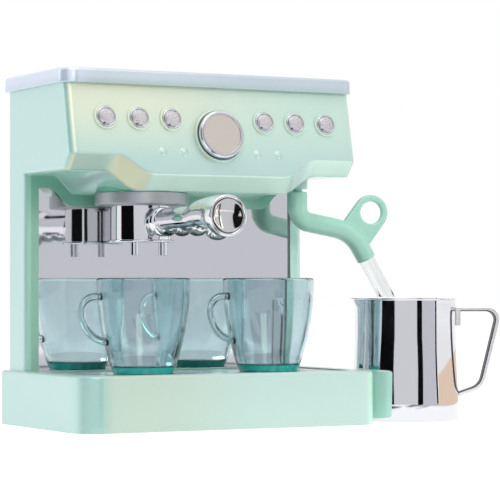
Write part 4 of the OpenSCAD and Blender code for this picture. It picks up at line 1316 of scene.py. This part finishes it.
def flat_material(name, code, strength=0.0):
    """A card's material: matte, or glowing where it has a strength."""
    material, tree = begin_material(name)
    if strength:
        shader = add_node(tree, "Emission", {"Color": tone(code), "Strength": strength})
    else:
        shader = add_node(tree, "BsdfDiffuse", {"Color": tone(code)})
    add_node(tree, "OutputMaterial", {"Surface": shader.outputs[0]})
    return material


def seen_directly(tree):
    """1 for rays from the camera, from a mirror or through glass."""
    path = add_node(tree, "LightPath")
    seen = path.outputs["Is Camera Ray"]
    for kind in ("Is Glossy Ray", "Is Transmission Ray"):
        seen = add_node(tree, "Math", {0: seen, 1: path.outputs[kind]}, operation="MAXIMUM").outputs[0]
    return seen


def make_floor():
    deselect()
    bpy.ops.mesh.primitive_plane_add(size=8)
    floor = named("stage_floor")
    material, tree = begin_material("white_sweep")
    plain = add_node(tree, "BsdfDiffuse", {"Color": tone("#f8f8f8")})
    shaded = add_node(tree, "BsdfDiffuse", {"Color": tone("#a8a8a8")})
    glow = add_node(tree, "Emission", {"Color": tone("#ffffff"), "Strength": 0.8})
    both = add_node(tree, "AddShader", {0: shaded.outputs[0], 1: glow.outputs[0]})
    mix = add_node(tree, "MixShader", {0: seen_directly(tree), 1: plain.outputs[0], 2: both.outputs[0]})
    add_node(tree, "OutputMaterial", {"Surface": mix.outputs[0]})
    floor.data.materials.append(material)


def make_world():
    world = bpy.data.worlds.new("studio")
    bpy.context.scene.world = world
    world.use_nodes = True
    tree = world.node_tree
    tree.nodes.clear()
    seen = add_node(tree, "Background", {"Color": tone("#ffffff"), "Strength": 1.0})
    fill = add_node(tree, "Background", {"Color": tone("#f4f7ff"), "Strength": 0.72})
    mix = add_node(tree, "MixShader", {0: seen_directly(tree), 1: fill.outputs[0], 2: seen.outputs[0]})
    add_node(tree, "OutputWorld", {"Surface": mix.outputs[0]})


def around(angle, away, z, centre=MIDDLE):
    """A point so many degrees to the right of the camera as seen from a centre, in millimetres."""
    yaw, a = CAMERA_YAW, math.radians(angle)
    back, right = Vector((-math.sin(yaw), -math.cos(yaw), 0)), Vector((math.cos(yaw), -math.sin(yaw), 0))
    spot = (back * math.cos(a) + right * math.sin(a)) * away
    return Vector((centre[0] + spot.x, centre[1] + spot.y, z))


def hide_card(obj, material):
    """Give a card its material and hide it from all but mirrors."""
    obj.data.materials.append(material)
    obj.visible_camera = obj.visible_diffuse = obj.visible_shadow = obj.visible_transmission = False


def card(name, start, stop, away, low, high, material, rise=None):
    """An upright card between two angles, at its top edge perhaps two others; only mirrors see it."""
    foot = [around(angle, away, low) for angle in (start, stop)]
    top = [around(angle, away, high) for angle in rise or (start, stop)]
    hide_card(outline(name, foot + top[::-1], closed=True), material)


def floor_card(name, start, stop, nearest, material, farthest=832):
    """A card lying on the floor between two angles as seen from the handle's end; only mirrors see it."""
    corners = ((start, nearest), (stop, nearest), (stop, farthest), (start, farthest))
    spots = [around(angle, away, 0.6, HANDLE_END) for angle, away in corners]
    hide_card(outline(name, spots, closed=True), material)


def make_flags():
    """Black flags: the dark stripes in the plated pieces."""
    black = flat_material("black_flag", "#0c0c0e")
    for name, start, stop, low, high, *rise in (
            ("flag_left_low", -78, -24, CARD_FOOT, 40), ("flag_left_mid", -78, -24, 40, 105, -78, -28),
            ("flag_left_high", -78, -28, 105, CARD_TOP), ("flag_right_low", 26.5, 38, CARD_FOOT, 40),
            ("flag_right_mid", 26.5, 38, 40, 105, 29, 40.5), ("flag_right_high", 29, 40.5, 105, 140),
            ("flag_right_top", 22, 41, 140, CARD_TOP), ("flag_far_right", 70, 74, CARD_FOOT, 100, 68, 72),
            ("flag_far_right_high", 68, 72, 100, CARD_TOP)):
        card(name, start, stop, 900, low, high, black, rise)
    floor_card("floor_flag_near", -50, 15, 15, black, 130)
    floor_card("floor_flag_right", 20, 42.3, 135, black)
    floor_card("floor_flag_far_right", 73.4, 77, 110, black)


def make_cards():
    """Pale cards: the greys and the beige between the stripes."""
    grey = flat_material("grey_card", "#e0e0e4", 1.0)
    dim = flat_material("dim_card", "#d2d3da", 1.0)
    warm = flat_material("warm_card", "#dbd6d2", 1.0)
    beige = flat_material("beige_card", "#fbdfc8", 0.95)
    card("card_front", -34, 32, 1100, CARD_FOOT, 760, grey)
    card("card_middle", 37, 68, 1100, CARD_FOOT, 760, dim)
    card("card_beige", 77.5, 140, 260, 0, 25, beige)
    card("card_far", 72, 130, 920, 140, CARD_TOP, warm)
    floor_card("floor_card_middle", 42.3, 73.4, 175, dim)
    floor_card("floor_card_far", 77, 125, 260, warm)


def make_lamps():
    def lamp(name, at, aim, wide, power, shade):
        deselect()
        bpy.ops.object.light_add(type="AREA", location=Vector(at) * MM)
        obj = bpy.context.active_object
        obj.name = obj.data.name = name
        obj.rotation_euler = (Vector(aim) - Vector(at)).to_track_quat("-Z", "Y").to_euler()
        obj.data.size = wide * MM
        obj.data.energy = power
        obj.data.color = linear(shade)
    lamp("front_softbox", around(14, 1300, 560), (20, 0, 60), 420, 3.5, "#fff4e0")
    lamp("left_softbox", around(-75, 1200, 500), (0, 0, 60), 600, 1.7, "#f2fbff")
    lamp("right_softbox", around(70, 1200, 400), (0, 0, 50), 500, 3.0, "#eafff4")
    lamp("top_softbox", around(20, 500, 1300), (20, 0, 60), 900, 4.5, "#ffffff")


def make_camera():
    deselect()
    bpy.ops.object.camera_add()
    camera = bpy.context.active_object
    camera.name = "product_camera"
    yaw, pitch = CAMERA_YAW, CAMERA_PITCH
    ahead = Vector((math.sin(yaw) * math.cos(pitch), math.cos(yaw) * math.cos(pitch), math.sin(pitch)))
    right = Vector((math.cos(yaw), -math.sin(yaw), 0))
    up = right.cross(ahead)
    c, s = math.cos(CAMERA_ROLL), math.sin(CAMERA_ROLL)
    right, up = right * c + up * s, up * c - right * s
    turn = Matrix((right, up, -ahead)).transposed().to_4x4()
    camera.matrix_world = Matrix.Translation(vec(*CAMERA_AT)) @ turn
    camera.data.lens = CAMERA_LENS
    camera.data.sensor_width = 36
    camera.data.clip_start, camera.data.clip_end = 0.05, 50
    bpy.context.scene.camera = camera


# ---------- the add-on ----------

class MESH_OT_maker_finishes(bpy.types.Operator):
    """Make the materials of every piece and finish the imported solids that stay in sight"""
    bl_idname = "mesh.maker_finishes"
    bl_label = "Finishes"

    def execute(self, context):
        make_finishes()
        coat_nodes("foil", "mirror_panel")
        coat_nodes("mint", "base_plate")
        coat_nodes("inside", "control_plate")
        coat_nodes("steel", "dial_clip", "arm_washer", "arm_screw", *[f"spring_{i}" for i in range(1, 7)],
                   *[f"{place}_screws" for place in ("base", "frame", "back", "cover", "collar", "control")])
        return {"FINISHED"}


class MESH_OT_maker_casing(bpy.types.Operator):
    """Model the housing, back cover, top cover, base and drip tray"""
    bl_idname = "mesh.maker_casing"
    bl_label = "Casing"

    def execute(self, context):
        form = body_form("form")
        make_shell(form)
        make_back(form)
        bpy.data.objects.remove(form)
        make_seat()
        make_boss()
        make_rims()
        make_domes()
        make_cover()
        make_base()
        make_tray()
        return {"FINISHED"}


class MESH_OT_maker_controls(bpy.types.Operator):
    """Model the six buttons and the dial"""
    bl_idname = "mesh.maker_controls"
    bl_label = "Controls"

    def execute(self, context):
        make_buttons()
        make_dial()
        return {"FINISHED"}


class MESH_OT_maker_group(bpy.types.Operator):
    """Model the group collar and the portafilter"""
    bl_idname = "mesh.maker_group"
    bl_label = "Group and portafilter"

    def execute(self, context):
        make_group()
        make_filter_body()
        make_spouts()
        make_handle()
        make_handle_cap()
        return {"FINISHED"}


class MESH_OT_maker_steam_arm(bpy.types.Operator):
    """Model the steam arm and its clear tube"""
    bl_idname = "mesh.maker_steam_arm"
    bl_label = "Steam arm"

    def execute(self, context):
        make_arm()
        make_tube()
        return {"FINISHED"}


class MESH_OT_maker_cups(bpy.types.Operator):
    """Model the two cups"""
    bl_idname = "mesh.maker_cups"
    bl_label = "Cups"

    def execute(self, context):
        make_cups()
        return {"FINISHED"}


class MESH_OT_maker_jug(bpy.types.Operator):
    """Model the milk jug and its handle"""
    bl_idname = "mesh.maker_jug"
    bl_label = "Milk jug"

    def execute(self, context):
        make_jug()
        make_strip()
        return {"FINISHED"}


class MESH_OT_maker_stage(bpy.types.Operator):
    """Set up the floor, the light and the camera"""
    bl_idname = "mesh.maker_stage"
    bl_label = "Stage"

    def execute(self, context):
        make_world()
        make_floor()
        make_flags()
        make_cards()
        make_lamps()
        make_camera()
        context.scene.view_settings.view_transform = "Standard"
        return {"FINISHED"}


OPERATORS = (MESH_OT_maker_finishes, MESH_OT_maker_casing, MESH_OT_maker_controls, MESH_OT_maker_group,
             MESH_OT_maker_steam_arm, MESH_OT_maker_cups, MESH_OT_maker_jug, MESH_OT_maker_stage)


class VIEW3D_PT_coffee_maker(bpy.types.Panel):
    """Sizes, colours and pieces of the toy coffee maker"""
    bl_label = "Coffee Maker"
    bl_idname = "VIEW3D_PT_coffee_maker"
    bl_space_type = "VIEW_3D"
    bl_region_type = "UI"
    bl_category = "Coffee Maker"

    def draw(self, context):
        for group in (context.scene.coffee_maker_sizes, context.scene.coffee_maker_colours):
            box = self.layout.box()
            for name in group.__annotations__:
                box.prop(group, name)
        for operator in OPERATORS:
            self.layout.operator(operator.bl_idname)


CLASSES = (CoffeeMakerSizes, CoffeeMakerColours, *OPERATORS, VIEW3D_PT_coffee_maker)


def register():
    for made in CLASSES:
        bpy.utils.register_class(made)
    bpy.types.Scene.coffee_maker_sizes = PointerProperty(type=CoffeeMakerSizes)
    bpy.types.Scene.coffee_maker_colours = PointerProperty(type=CoffeeMakerColours)


def unregister():
    del bpy.types.Scene.coffee_maker_sizes
    del bpy.types.Scene.coffee_maker_colours
    for made in reversed(CLASSES):
        bpy.utils.unregister_class(made)


def main():
    register()
    bpy.ops.mesh.maker_finishes()
    bpy.ops.mesh.maker_casing()
    bpy.ops.mesh.maker_controls()
    bpy.ops.mesh.maker_group()
    bpy.ops.mesh.maker_steam_arm()
    bpy.ops.mesh.maker_cups()
    bpy.ops.mesh.maker_jug()
    bpy.ops.mesh.maker_stage()


if __name__ == "__main__":
    main()
